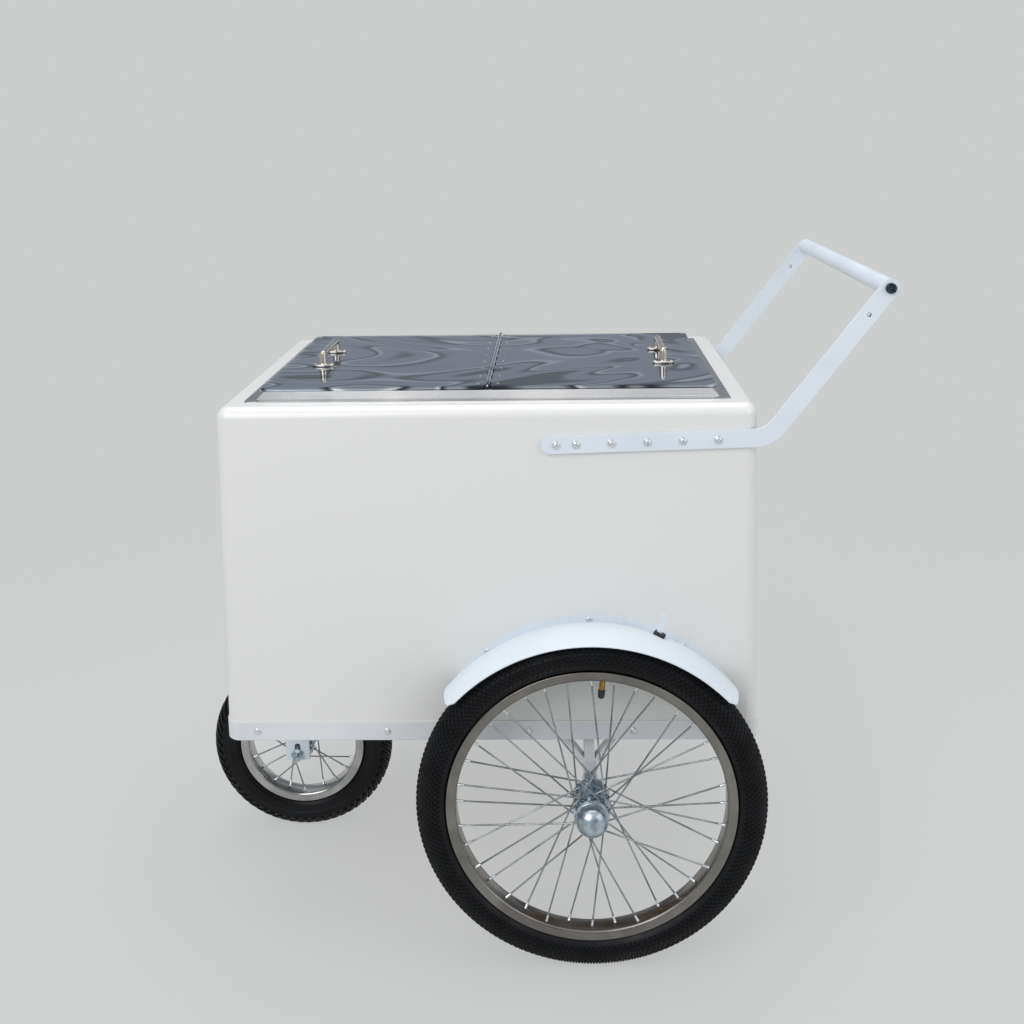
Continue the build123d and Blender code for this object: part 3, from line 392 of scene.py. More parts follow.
# Blue passivated zinc plate: cool silver with a cloudy bloom.
ZINC = Metal("zinc_plate_blue_passivated", "C6D1D8", 0.27, 1.0, drift="98A6AF", drift_mm=9,
             hair_mm=(1.5, 1.5, 1.5), hair_depth=0.05)
# Ground bearing steel: bright and even.
GROUND = Metal("bearing_steel_ground", "BCBDBE", 0.2, 1.0, drift="A6A8AA", drift_mm=20)
# Bright zinc plated screws and rivets.
SCREW = Metal("screw_steel_bright_zinc", "F0F2F4", 0.3, 1.0, drift="D3D8DC", drift_mm=4,
              hair_mm=(1.0, 1.0, 1.0))
# Black oxide on the handle's socket bolts and hole sleeves: dark blue grey. On the sleeves this dark is
# painted shade inside the bell rod holes.
BLACKED = Metal("bolt_steel_black_oxide", "4E5A60", 0.3, 1.0, drift="2D3438", drift_mm=4)
# Drawn spoke wire, zinc plated: mid grey with brighter lengths.
WIRE = Metal("spoke_wire_zinc_plated", "B4B8BB", 0.24, 1.0, drift="7E8387", drift_mm=40)
# Yellow brass of the tyre valves.
BRASS = Metal("valve_brass_turned", "B98F4A", 0.28, 1.0, drift="8D6A2F", drift_mm=3)
# Moulded black plastic of valve caps and grommets; on the brake grommet its black also stands for the
# painted shade of the lever's slot.
BLACK_PLASTIC = Coating("plastic_moulded_black", "1B1C1E", 0.42, drift="232427", drift_mm=8,
                        peel_mm=1.0, peel_depth=0.04)
# Vulcanised tyre rubber: near black, dusty bloom, dull sheen.
RUBBER = Coating("tyre_rubber_vulcanised", "0B0C0E", 0.4, drift="121316", drift_mm=30,
                 peel_mm=1.8, peel_depth=0.3, soil=0.07, sheen=0.2)
# Butyl rubber of the tubes and the sponge of the gaskets.
SOFT_RUBBER = Coating("butyl_rubber_matte", "1F1F20", 0.7, drift="2A2A2B", drift_mm=20, peel_depth=0.05)
# Vacuum formed liner: clean white plastic, glossier than the outside.
LINER = Coating("liner_plastic_white", "ECEDEC", 0.26, drift="E3E5E5", peel_mm=5, wave_mm=140,
                wave_depth=1.0)
# Cut polyurethane foam: pale yellow, open and dull.
FOAM = Coating("polyurethane_foam_cut", "E2D09A", 0.9, drift="CDB87D", drift_mm=12, peel_mm=1.5,
               peel_depth=0.7, soil=0.04)
# Sealed plywood of the floor.
PLYWOOD = Timber("plywood_sealed", "B08A5A", 0.55)


# ================================================================ bench work
def clear_selection() -> None:
    """Leave edit mode and select nothing."""
    if bpy.context.object and bpy.context.object.mode != "OBJECT":
        bpy.ops.object.mode_set(mode="OBJECT")
    bpy.ops.object.select_all(action="DESELECT")


def take_up(piece: bpy.types.Object) -> None:
    """Make a piece the only one selected, and active."""
    clear_selection()
    piece.select_set(True)
    bpy.context.view_layer.objects.active = piece


def edit_all(piece: bpy.types.Object) -> None:
    """Take up a piece and open it in edit mode with everything selected."""
    take_up(piece)
    bpy.ops.object.mode_set(mode="EDIT")
    bpy.ops.mesh.select_mode(type="VERT")
    bpy.ops.mesh.select_all(action="SELECT")


def close_edit() -> None:
    """Return to object mode."""
    bpy.ops.object.mode_set(mode="OBJECT")


def select_faces(piece: bpy.types.Object, test: Callable[[bpy.types.MeshPolygon], bool]) -> None:
    """Open a piece in face mode with only the faces that pass a test selected.

    Args:
        piece: The mesh object.
        test: Says whether a face is wanted.
    """
    edit_all(piece)
    bpy.ops.mesh.select_mode(type="FACE")
    bpy.ops.mesh.select_all(action="DESELECT")
    close_edit()
    for face in piece.data.polygons:
        face.select = test(face)
    bpy.ops.object.mode_set(mode="EDIT")


def apply_modifier(piece: bpy.types.Object, kind: str, **settings: object) -> None:
    """Add a modifier, set it and apply it.

    Args:
        piece: The mesh object.
        kind: The modifier's type.
        settings: Its properties by name.
    """
    take_up(piece)
    modifier = piece.modifiers.new(kind.title(), kind)
    for key, value in settings.items():
        setattr(modifier, key, value)
    bpy.ops.object.modifier_apply(modifier=modifier.name)


def smooth(piece: bpy.types.Object, angle: float = 35.0) -> None:
    """Shade a piece smooth up to an edge angle in degrees."""
    take_up(piece)
    bpy.ops.object.shade_smooth_by_angle(angle=math.radians(angle))


def hand_over(piece: bpy.types.Object, name: str, finish: Finish, body: str,
              stands_for: Iterable[str] = ()) -> bpy.types.Object:
    """Name a finished piece, give it its finish and let it ride on its body.

    Args:
        piece: The mesh object, in place.
        name: Its name.
        finish: Its finish.
        body: The CAD body that carries it.
        stands_for: CAD nodes that it replaces.

    Returns:
        The same piece.
    """
    piece.name = name
    piece.data.name = name
    if not piece.data.materials:
        piece.data.materials.append(finish.material())
    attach(piece, body)
    nodes = list(stands_for)
    if nodes:
        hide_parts(*nodes)
    log.info("%s: %d faces, %s, on %s", name, len(piece.data.polygons), finish.name, body)
    return piece


def outline(points: Sequence[tuple[float, float]], closed: bool) -> bpy.types.Object:
    """Draw an outline by extruding one vertex from point to point.

    Args:
        points: Distance along +Y and distance from the Y axis, in metres.
        closed: Whether the last point joins the first.

    Returns:
        A new object that holds the wire outline in the YZ plane.
    """
    clear_selection()
    bpy.ops.mesh.primitive_circle_add(vertices=3, radius=MM)
    piece = bpy.context.object
    edit_all(piece)
    bpy.ops.mesh.merge(type="CENTER")
    here = Vector((0.0, *points[0]))
    bpy.ops.transform.translate(value=here)
    for point in points[1:]:
        there = Vector((0.0, *point))
        bpy.ops.mesh.extrude_region_move(TRANSFORM_OT_translate={"value": there - here})
        here = there
    if closed:
        close_edit()
        for number, vertex in enumerate(piece.data.vertices):
            vertex.select = number in (0, len(piece.data.vertices) - 1)
        bpy.ops.object.mode_set(mode="EDIT")
        bpy.ops.mesh.select_mode(type="VERT")
        bpy.ops.mesh.edge_face_add()
    close_edit()
    return piece


def lathe(points: Sequence[tuple[float, float]], steps: int, closed: bool = False,
          angle: float = 360.0) -> bpy.types.Object:
    """Spin an outline about the Y axis.

    Args:
        points: Distance along +Y and from the axis, in metres.
        steps: Steps round the turn.
        closed: Whether the outline closes on itself.
        angle: How far it turns, in degrees.

    Returns:
        The turned mesh object, about the world's Y axis.
    """
    piece = outline(points, closed)
    edit_all(piece)
    bpy.ops.mesh.spin(steps=steps, angle=math.radians(angle), center=(0, 0, 0), axis=(0, 1, 0))
    bpy.ops.mesh.select_all(action="SELECT")
    bpy.ops.mesh.remove_doubles(threshold=TINY)
    bpy.ops.mesh.normals_make_consistent(inside=False)
    close_edit()
    return piece


def arc(centre: tuple[float, float], radius: float, start: float, end: float,
        count: int) -> list[tuple[float, float]]:
    """Points of an arc, angles in degrees from the outline's radial direction.

    Args:
        centre: The arc's centre.
        radius: Its radius.
        start: Angle of the first point.
        end: Angle of the last.
        count: How many spans it has.

    Returns:
        count + 1 points.
    """
    angles = [math.radians(start + (end - start) * i / count) for i in range(count + 1)]
    return [(centre[0] + radius * math.sin(a), centre[1] + radius * math.cos(a)) for a in angles]


def put(piece: bpy.types.Object, matrix: Matrix) -> bpy.types.Object:
    """Move a piece's mesh to its place, leaving its object at the origin."""
    piece.data.transform(matrix)
    return piece


def copies(master: bpy.types.Object, places: Iterable[Matrix]) -> bpy.types.Object:
    """Copy a master to each place and join the copies to one piece.

    Args:
        master: The piece as modelled once, at the origin. It is removed.
        places: One matrix for each copy.

    Returns:
        The joined copies.
    """
    made = []
    for matrix in places:
        twin = master.copy()
        twin.data = master.data.copy()
        twin.data.transform(matrix)
        bpy.context.collection.objects.link(twin)
        made.append(twin)
    bpy.data.objects.remove(master)
    return join(made)


def join(pieces: Sequence[bpy.types.Object]) -> bpy.types.Object:
    """Join pieces into the first one."""
    take_up(pieces[0])
    for piece in pieces[1:]:
        piece.select_set(True)
    if len(pieces) > 1:
        bpy.ops.object.join()
    return pieces[0]


def copy_of(node: str) -> bpy.types.Object:
    """A free copy of a CAD node's mesh, with its seams merged.

    Args:
        node: The CAD node's name.

    Returns:
        The new object, at the origin.
    """
    piece = bpy.data.objects.new(f"{node}_copy", frame["nodes"][node].data.copy())
    piece.data.materials.clear()
    bpy.context.collection.objects.link(piece)
    edit_all(piece)
    bpy.ops.mesh.customdata_custom_splitnormals_clear()
    bpy.ops.mesh.remove_doubles(threshold=TINY)
    close_edit()
    return piece


def refined(node: str, bevel: float, angle: float = 38.0) -> bpy.types.Object:
    """Copy a CAD node, merge its flat faces and break its sharp edges.

    Args:
        node: The CAD node's name.
        bevel: Width of the broken edge in metres.
        angle: Edges sharper than this many degrees are broken.

    Returns:
        The copy, ready to hand over.
    """
    piece = copy_of(node)
    edit_all(piece)
    bpy.ops.mesh.dissolve_limited(angle_limit=math.radians(0.6))
    close_edit()
    if bevel:
        apply_modifier(piece, "BEVEL", width=bevel, segments=2, limit_method="ANGLE",
                       angle_limit=math.radians(angle), use_clamp_overlap=True)
    apply_modifier(piece, "TRIANGULATE", min_vertices=5)
    smooth(piece, angle)
    apply_modifier(piece, "WEIGHTED_NORMAL", keep_sharp=True, weight=80)
    return piece


def islands(node: str) -> list[tuple[Vector, Vector]]:
    """Boxes of the separate solids in one CAD node.

    Args:
        node: The CAD node's name.

    Returns:
        The lowest and highest corner of each solid.
    """
    piece = copy_of(node)
    edit_all(piece)
    bpy.ops.mesh.separate(type="LOOSE")
    close_edit()
    found = []
    for part in list(bpy.context.selected_objects):
        spots = [v.co for v in part.data.vertices]
        found.append((Vector(min(s[i] for s in spots) for i in range(3)),
                      Vector(max(s[i] for s in spots) for i in range(3))))
        bpy.data.objects.remove(part)
    return found


def turned_to(place: Vector, direction: Vector) -> Matrix:
    """Matrix that takes the Y axis to a direction, and the origin to a place."""
    return Matrix.Translation(place) @ Vector((0, 1, 0)).rotation_difference(direction).to_matrix().to_4x4()


def middle(node: str) -> Vector:
    """Middle of a CAD node's box."""
    low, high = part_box(node)
    return (low + high) / 2


def side_seats(node: str, face: Callable[[Vector, Vector, int], float], first: float = 0.0,
               step: float = 0.0) -> list[Matrix]:
    """Places for the heads on the cart's two sides, one for each solid of a CAD node.

    Args:
        node: The CAD node's name.
        face: Gives the seat's Y from the solid's lowest and highest corner and the side's sign.
        first: Turn of the first head about its own axis, in degrees.
        step: Further turn from each head to the next.

    Returns:
        One matrix for each head.
    """
    places = []
    for low, high in islands(node):
        centre = (low + high) / 2
        out = -1 if centre.y < 0 else 1
        seat = Vector((centre.x, face(low, high, out), centre.z))
        turn = Matrix.Rotation(math.radians(first + step * len(places)), 4, "Y")
        places.append(turned_to(seat, Vector((0, out, 0))) @ turn)
    return places


def outer_face(node: str, out: int) -> float:
    """Y of a CAD node's face on one side of the cart."""
    low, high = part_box(node)
    return low.y if out < 0 else high.y


def screw_master(radius: float, height: float, drive: Drive) -> bpy.types.Object:
    """Model one screw or rivet head along +Y, seated at the origin.

    Args:
        radius: The head's radius.
        height: Its height.
        drive: The drive in its crown.

    Returns:
        The head.
    """
    rise = height * 0.7
    crown = [(height - rise * (1 - math.cos(math.radians(a))), radius * math.sin(math.radians(a)))
             for a in (0, 18, 36, 54, 72, 90)]
    head = lathe([*crown, (0.0, radius), (0.0, 0.0)], 20)
    if drive is Drive.PHILLIPS:
        blades = []
        for size in ((0.62, 0.17), (0.17, 0.62)):
            clear_selection()
            bpy.ops.mesh.primitive_cube_add(size=1.0, location=(0, 0, 0))
            blade = bpy.context.object
            edit_all(blade)
            bpy.ops.transform.resize(value=(2 * size[0] * radius, height, 2 * size[1] * radius))
            bpy.ops.transform.translate(value=(0, height * 0.95, 0))
            close_edit()
            blades.append(blade)
        for blade in blades:
            apply_modifier(head, "BOOLEAN", operation="DIFFERENCE", object=blade, solver="EXACT")
            bpy.data.objects.remove(blade)
    smooth(head, 40)
    return head


# ================================================================ wheels
@dataclass
class Wheel:
    """One spoked wheel. Sizes in metres; the hub's faces follow the CAD nodes."""

    word: str
    outward: int
    spokes: int
    spacing: float
    circle: float
    crossing: float
    tread_steps: int
    section_rows: int
    block_height: float
    rim_finish: Finish
    wire_radius: float = 1.25 * MM
    side_step: float = 2.65 * MM
    spoke_seat: float = 1.4 * MM
    sheet: float = 1.8 * MM
    flange_height: float = 6.5 * MM
    well_depth: float = 8.5 * MM
    casing_wall: float = 3.0 * MM
    tread_margin: float = 1.2 * MM

    def __post_init__(self) -> None:
        """Read the wheel's place and outer sizes from its CAD nodes."""
        low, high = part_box(f"{self.word}_wheel_tyre")
        self.hub = (low + high) / 2
        self.outer = (high.z - low.z) / 2
        self.section = (high.y - low.y) / 2
        rim_low, rim_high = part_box(f"{self.word}_wheel_rim")
        self.rim_top = (rim_high.z - rim_low.z) / 2
        self.rim_half = (rim_high.y - rim_low.y) / 2
        self.bead = self.rim_top - self.flange_height
        self.bed = self.bead - self.well_depth
        self.body = f"{self.word}_wheel"

    def placing(self) -> Matrix:
        """Matrix that takes a wheel part from the origin to this hub, outboard side out."""
        turn = Matrix.Rotation(math.pi if self.outward < 0 else 0.0, 4, "Z")
        return Matrix.Translation(self.hub) @ turn

    def casing(self) -> bpy.types.Object:
        """Turn the tyre's casing: outer arc from bead to bead, and the inner arc back."""
        centre = (0.0, self.outer - self.section)
        radius = self.section - self.block_height
        reach = 180 - math.degrees(math.atan2(self.rim_half - self.sheet - 0.4 * MM,
                                              centre[1] - self.rim_top - 0.3 * MM))
        outside = arc(centre, radius, -reach, reach, self.section_rows)
        inside = arc(centre, radius - self.casing_wall, reach, -reach, 10)
        return lathe(self.moulded(outside, centre) + inside, self.tread_steps, closed=True)

    def moulded(self, points: list[tuple[float, float]],
                centre: tuple[float, float]) -> list[tuple[float, float]]:
        """Raise the sidewall's rings, where the tyre has them.

        Args:
            points: The plain outer arc.
            centre: The section's centre.

        Returns:
            The arc with its rings.
        """
        return points

    def section_place(self, centre: Vector) -> tuple[int, float, float]:
        """Where a face of the casing lies.

        Args:
            centre: The face's centre, with the hub at the origin.

        Returns:
            Its step round the wheel, its angle from the crown in degrees, and its distance from
            the middle of the section.
        """
        step = int(math.degrees(math.atan2(centre.x, centre.z)) % 360 / 360 * self.tread_steps)
        rise = math.hypot(centre.x, centre.z) - (self.outer - self.section)
        return step, math.degrees(math.atan2(centre.y, rise)), math.hypot(centre.y, rise)

    def tread(self, casing: bpy.types.Object) -> None:
        """Raise the tread's blocks from the casing."""
        raise NotImplementedError

    def build_tyre(self) -> None:
        """Make the tyre and hand it over in place of the CAD casing."""
        tyre = self.casing()
        self.tread(tyre)
        smooth(tyre, 32)
        put(tyre, self.placing())
        hand_over(tyre, f"{self.word}_tyre_treaded", RUBBER, self.body,
                  [f"{self.word}_wheel_tyre"])

    def build_rim(self) -> None:
        """Turn the rolled rim: hooked edges, flat brake bands and a dropped spoke bed."""
        top, w, bed = self.rim_top, self.rim_half, self.bed
        half = [(w - 4.6 * MM, bed + 0.2 * MM), (w - 1.8 * MM, bed + 1.9 * MM),
                (w - 0.7 * MM, bed + 4.6 * MM), (w - 0.7 * MM, top - 3.4 * MM),
                (w - 0.1 * MM, top - 2.5 * MM), (w, top - 1.2 * MM), (w - 0.5 * MM, top - 0.2 * MM),
                (w - 1.3 * MM, top), (w - 1.8 * MM, top - 0.8 * MM), (w - 1.8 * MM, bed + 5.6 * MM),
                (w - 3.2 * MM, bed + 3.1 * MM), (w - 5.2 * MM, bed + 2.0 * MM)]
        left = [(-y, r) for y, r in half]
        rim = lathe(half + left[::-1], 144, closed=True)
        smooth(rim, 50)
        put(rim, self.placing())
        hand_over(rim, f"{self.word}_rim_rolled", self.rim_finish, self.body,
                  [f"{self.word}_wheel_rim"])

    def lacing(self) -> list[tuple[Vector, Vector, int, int]]:
        """Lines of the spokes: hub end, rim end, the flange's side and the lean."""
        pitch = 720 / self.spokes
        rim_step = self.side_step + 1.6 * MM
        rim_reach = self.bed + self.spoke_seat
        lines = []
        for flange in (-1, 1):
            turn = pitch / 4 * (flange + 1)
            for place in range(self.spokes // 2):
                lean = -1 if place % 2 else 1
                hub_angle = math.radians(place * pitch + turn)
                rim_angle = math.radians(place * pitch + turn + lean * self.crossing)
                start = Vector((self.circle * math.sin(hub_angle),
                                self.spacing / 2 * flange + lean * self.side_step,
                                self.circle * math.cos(hub_angle)))
                end = Vector((rim_reach * math.sin(rim_angle),
                              rim_step * flange + lean * self.side_step,
                              rim_reach * math.cos(rim_angle)))
                lines.append((start, end, flange, lean))
        return lines

    def build_spokes(self) -> None:
        """Lace the wires, with an elbow and a head at the flange and a nipple at the rim."""
        lines = self.lacing()
        start, end, _, _ = lines[0]
        length = (end - start).length
        wire = lathe([(0.0, 0.0), (0.0, self.wire_radius), (length, self.wire_radius), (length, 0.0)], 8)
        wires = copies(wire, [self.in_place(a, b) for a, b, _, _ in lines])
        reach = self.side_step + 1.6 * MM
        elbow = lathe([(-reach, 0.0), (-reach, 1.6 * MM), (-reach + 0.8 * MM, 2.1 * MM),
                       (-reach + 1.2 * MM, self.wire_radius), (self.side_step, self.wire_radius),
                       (self.side_step + 0.6 * MM, self.wire_radius * 0.5),
                       (self.side_step + 0.6 * MM, 0.0)], 8)
        elbows = copies(elbow, [self.elbow_place(a, flange, lean) for a, _, flange, lean in lines])
        laced = join([wires, elbows])
        smooth(laced, 50)
        hand_over(laced, f"{self.word}_spokes_laced", WIRE, self.body,
                  [f"{self.word}_wheel_spokes"])
        nipple = lathe([(0.0, 0.0), (0.0, 1.5 * MM), (0.9 * MM, 2.0 * MM), (8.5 * MM, 1.9 * MM),
                        (9.2 * MM, 2.7 * MM), (11.4 * MM, 2.7 * MM), (11.4 * MM, 0.0)], 8)
        seat = 10.6 * MM
        nipples = copies(nipple, [self.in_place(b + (a - b).normalized() * seat, b)
                                  for a, b, _, _ in lines])
        smooth(nipples, 50)
        hand_over(nipples, f"{self.word}_spoke_nipples", SCREW, self.body)

    def in_place(self, start: Vector, end: Vector) -> Matrix:
        """Matrix for a part modelled along +Y that runs from one point of the wheel to another."""
        return Matrix.Translation(self.hub) @ turned_to(start, end - start)

    def elbow_place(self, start: Vector, flange: int, lean: int) -> Matrix:
        """Matrix that sets an elbow through its flange, its head on the side away from the wire."""
        seat = Vector((start.x, self.spacing / 2 * flange, start.z))
        return Matrix.Translation(self.hub) @ turned_to(seat, Vector((0, lean, 0)))

    def build_hub(self) -> None:
        """Refine the hub shell."""
        hub = refined(f"{self.word}_wheel_hub", 0.5 * MM)
        hand_over(hub, f"{self.word}_hub_shell", ZINC, self.body,
                  [f"{self.word}_wheel_hub"])

    def build_valve(self, turn: float, length: float) -> None:
        """Turn the brass valve and its black cap, pointing at the hub.

        Args:
            turn: Degrees from straight up.
            length: How far the valve stands out of the rim's bed.
        """
        lean = math.radians(turn)
        out = Vector((math.sin(lean), 0, math.cos(lean)))
        seat = self.hub + out * self.bed
        stem = lathe([(-2 * MM, 0.0), (-2 * MM, 5.2 * MM), (0.6 * MM, 5.2 * MM), (0.8 * MM, 4.1 * MM),
                      (2.0 * MM, 3.9 * MM), (2.4 * MM, 4.1 * MM), (length * 0.6, 4.1 * MM),
                      (length * 0.6, 0.0)], 20)
        cap = lathe([(length * 0.56, 0.0), (length * 0.56, 4.4 * MM), (length * 0.62, 5.2 * MM),
                     (length * 0.94, 4.9 * MM), (length, 3.4 * MM), (length, 0.0)], 20)
        for piece, name, finish in ((stem, "valve_stem", BRASS), (cap, "valve_cap", BLACK_PLASTIC)):
            put(piece, turned_to(seat, -out))
            smooth(piece, 35)
            hand_over(piece, f"{self.word}_{name}", finish, self.body)

    def dress_nodes(self) -> None:
        """Give the CAD nodes that stay their finishes."""
        paint(f"{self.word}_wheel_inner_tube", SOFT_RUBBER)
        paint(f"{self.word}_wheel_bearings", GROUND)

    def build(self) -> None:
        """Make the whole wheel."""
        self.build_tyre()
        self.build_rim()
        self.build_spokes()
        self.build_hub()
        self.dress_nodes()


@dataclass
class RearWheel(Wheel):
    """Large wheel with a fine block tread right over its shoulders, and a domed hub cap."""

    tread_reach: float = 120.0
    row_pitch: float = 1.27
    block_gap: float = 0.95 * MM
    valve_length: float = 31 * MM

    def tread(self, casing: bpy.types.Object) -> None:
        """Raise every second cell of the casing, so that the small blocks are staggered."""
        radius = self.section - self.block_height - self.tread_margin
        row_angle = 360 / self.section_rows

        def wanted(face: bpy.types.MeshPolygon) -> bool:
            """Whether a face becomes a block."""
            step, angle, reach = self.section_place(face.center)
            row = int((angle + 180) / row_angle * self.row_pitch)
            return reach > radius and abs(angle) < self.tread_reach and (step + row) % 2 == 0

        select_faces(casing, wanted)
        bpy.ops.mesh.inset(thickness=self.block_gap, depth=self.block_height, use_individual=True)
        close_edit()

    def build_cap(self) -> None:
        """Turn the hub cap: a ribbed collar and a dome."""
        node = f"{self.word}_wheel_dust_cap"
        low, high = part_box(node)
        radius = (high.z - low.z) / 2
        near = min(abs(low.y - self.hub.y), abs(high.y - self.hub.y))
        far = max(abs(low.y - self.hub.y), abs(high.y - self.hub.y))
        shoulder = far - radius * 0.85
        dome = [(shoulder + (far - shoulder) * math.sin(math.radians(a)), radius * math.cos(math.radians(a)))
                for a in range(0, 91, 9)]
        collar = [(near, radius - 1.9 * MM), (near, radius - 0.2 * MM), (near + 1 * MM, radius),
                  (near + 3.2 * MM, radius), (near + 3.8 * MM, radius - 1.1 * MM),
                  (near + 5.4 * MM, radius - 1.1 * MM), (near + 6.0 * MM, radius),
                  (near + 8.2 * MM, radius), (near + 8.8 * MM, radius - 0.9 * MM),
                  (near + 10.4 * MM, radius - 0.9 * MM), (near + 11 * MM, radius)]
        cap = lathe(collar + dome, 72)
        smooth(cap, 40)
        put(cap, self.placing())
        hand_over(cap, f"{self.word}_hub_cap_domed", ZINC, self.body, [node])

    def build(self) -> None:
        """Make the wheel, its cap and its valve."""
        super().build()
        self.build_cap()
        self.build_valve(180 / self.spokes, self.valve_length)


@dataclass
class FrontWheel(Wheel):
    """Small wheel whose tyre has slanted shoulder knobs and ringed smooth sidewalls."""

    tread_reach: float = 62.0
    row_angle: float = 10.0
    bar_gap: float = 0.5 * MM
    ring_rows: tuple[int, ...] = (4, 9, 14)
    ring_height: float = 1.0 * MM
    valve_length: float = 20 * MM

    def moulded(self, points: list[tuple[float, float]],
                centre: tuple[float, float]) -> list[tuple[float, float]]:
        """Raise a narrow ring at three places of each sidewall. Args: as in Wheel.moulded."""
        raised = []
        last = len(points) - 1
        for number, (y, r) in enumerate(points):
            from_bead = min(number, last - number)
            lift = 1 + (self.ring_height / self.section if from_bead in self.ring_rows else 0.0)
            raised.append((centre[0] + (y - centre[0]) * lift, centre[1] + (r - centre[1]) * lift))
        return raised

    def tread(self, casing: bpy.types.Object) -> None:
        """Raise slanted bars that lean the same way on both shoulders."""
        radius = self.section - self.block_height - self.tread_margin

        def wanted(face: bpy.types.MeshPolygon) -> bool:
            """Whether a face belongs to a bar."""
            step, angle, reach = self.section_place(face.center)
            row = int(abs(angle) / self.row_angle)
            return reach > radius and abs(angle) < self.tread_reach and (step + row) % 4 < 2

        select_faces(casing, wanted)
        bpy.ops.mesh.inset(thickness=self.bar_gap, depth=self.block_height, use_individual=False)
        close_edit()

    def build(self) -> None:
        """Make the wheel and its valve."""
        super().build()
        self.build_valve(180 / self.spokes, self.valve_length)


def paint(node: str, finish: Finish) -> None:
    """Give a CAD node that stays its finish.

    Args:
        node: The CAD node's name.
        finish: The finish for its whole surface.
    """
    mesh = frame["nodes"][node].data
    if not mesh.materials:
        mesh.materials.append(finish.material())
    for number in range(len(mesh.materials)):
        mesh.materials[number] = finish.material()
    log.info("%s: CAD node, %s", node, finish.name)


def refine(node: str, name: str, finish: Finish, body: str, bevel: float) -> bpy.types.Object:
    """Refine a CAD node and hand the copy over in its place.

    Args:
        node: The CAD node's name.
        name: The new piece's name.
        finish: Its finish.
        body: The body that carries it.
        bevel: Width of its broken edges in metres.

    Returns:
        The new piece.
    """
    return hand_over(refined(node, bevel), name, finish, body, [node])


# ================================================================ tub
@dataclass
class Tub:
    """The insulated body with its liner, trim, base ring and floor."""

    edge: float = 0.5 * MM

    def build(self) -> None:
        """Refine the outside, and paint what is inside or under the tub."""
        refine("outer_shell", "tub_shell_gelcoat", GELCOAT, "cart", self.edge)
        refine("top_trim", "tub_top_trim", BRUSHED, "cart", 0.5 * MM)
        refine("base_frame", "base_ring_pressed", FRAME_POWDER, "cart", 1.2 * MM)
        refine("cross_members", "base_cross_members", FRAME_POWDER, "cart", 0.5 * MM)
        refine("inner_liner", "tub_liner", LINER, "cart", 3 * MM)
        for node, finish in (("insulation", FOAM), ("floor_panel", PLYWOOD),
                             ("hinge_beam", MIRROR), ("hinge_pin", SCREW)):
            paint(node, finish)
        self.build_band_bolts()

    def build_band_bolts(self) -> None:
        """Set a dome head where each bolt of the base ring is."""
        low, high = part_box("base_bolts")
        places = side_seats("base_bolts", lambda _low, _high, out: outer_face("base_frame", out))
        reach = max(abs(low.y), high.y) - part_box("base_frame")[1].y
        head = screw_master(5.2 * MM, max(reach, 2 * MM), Drive.DOME)
        hand_over(copies(head, places), "base_dome_bolts", SCREW, "cart",
                  ["base_bolts"])


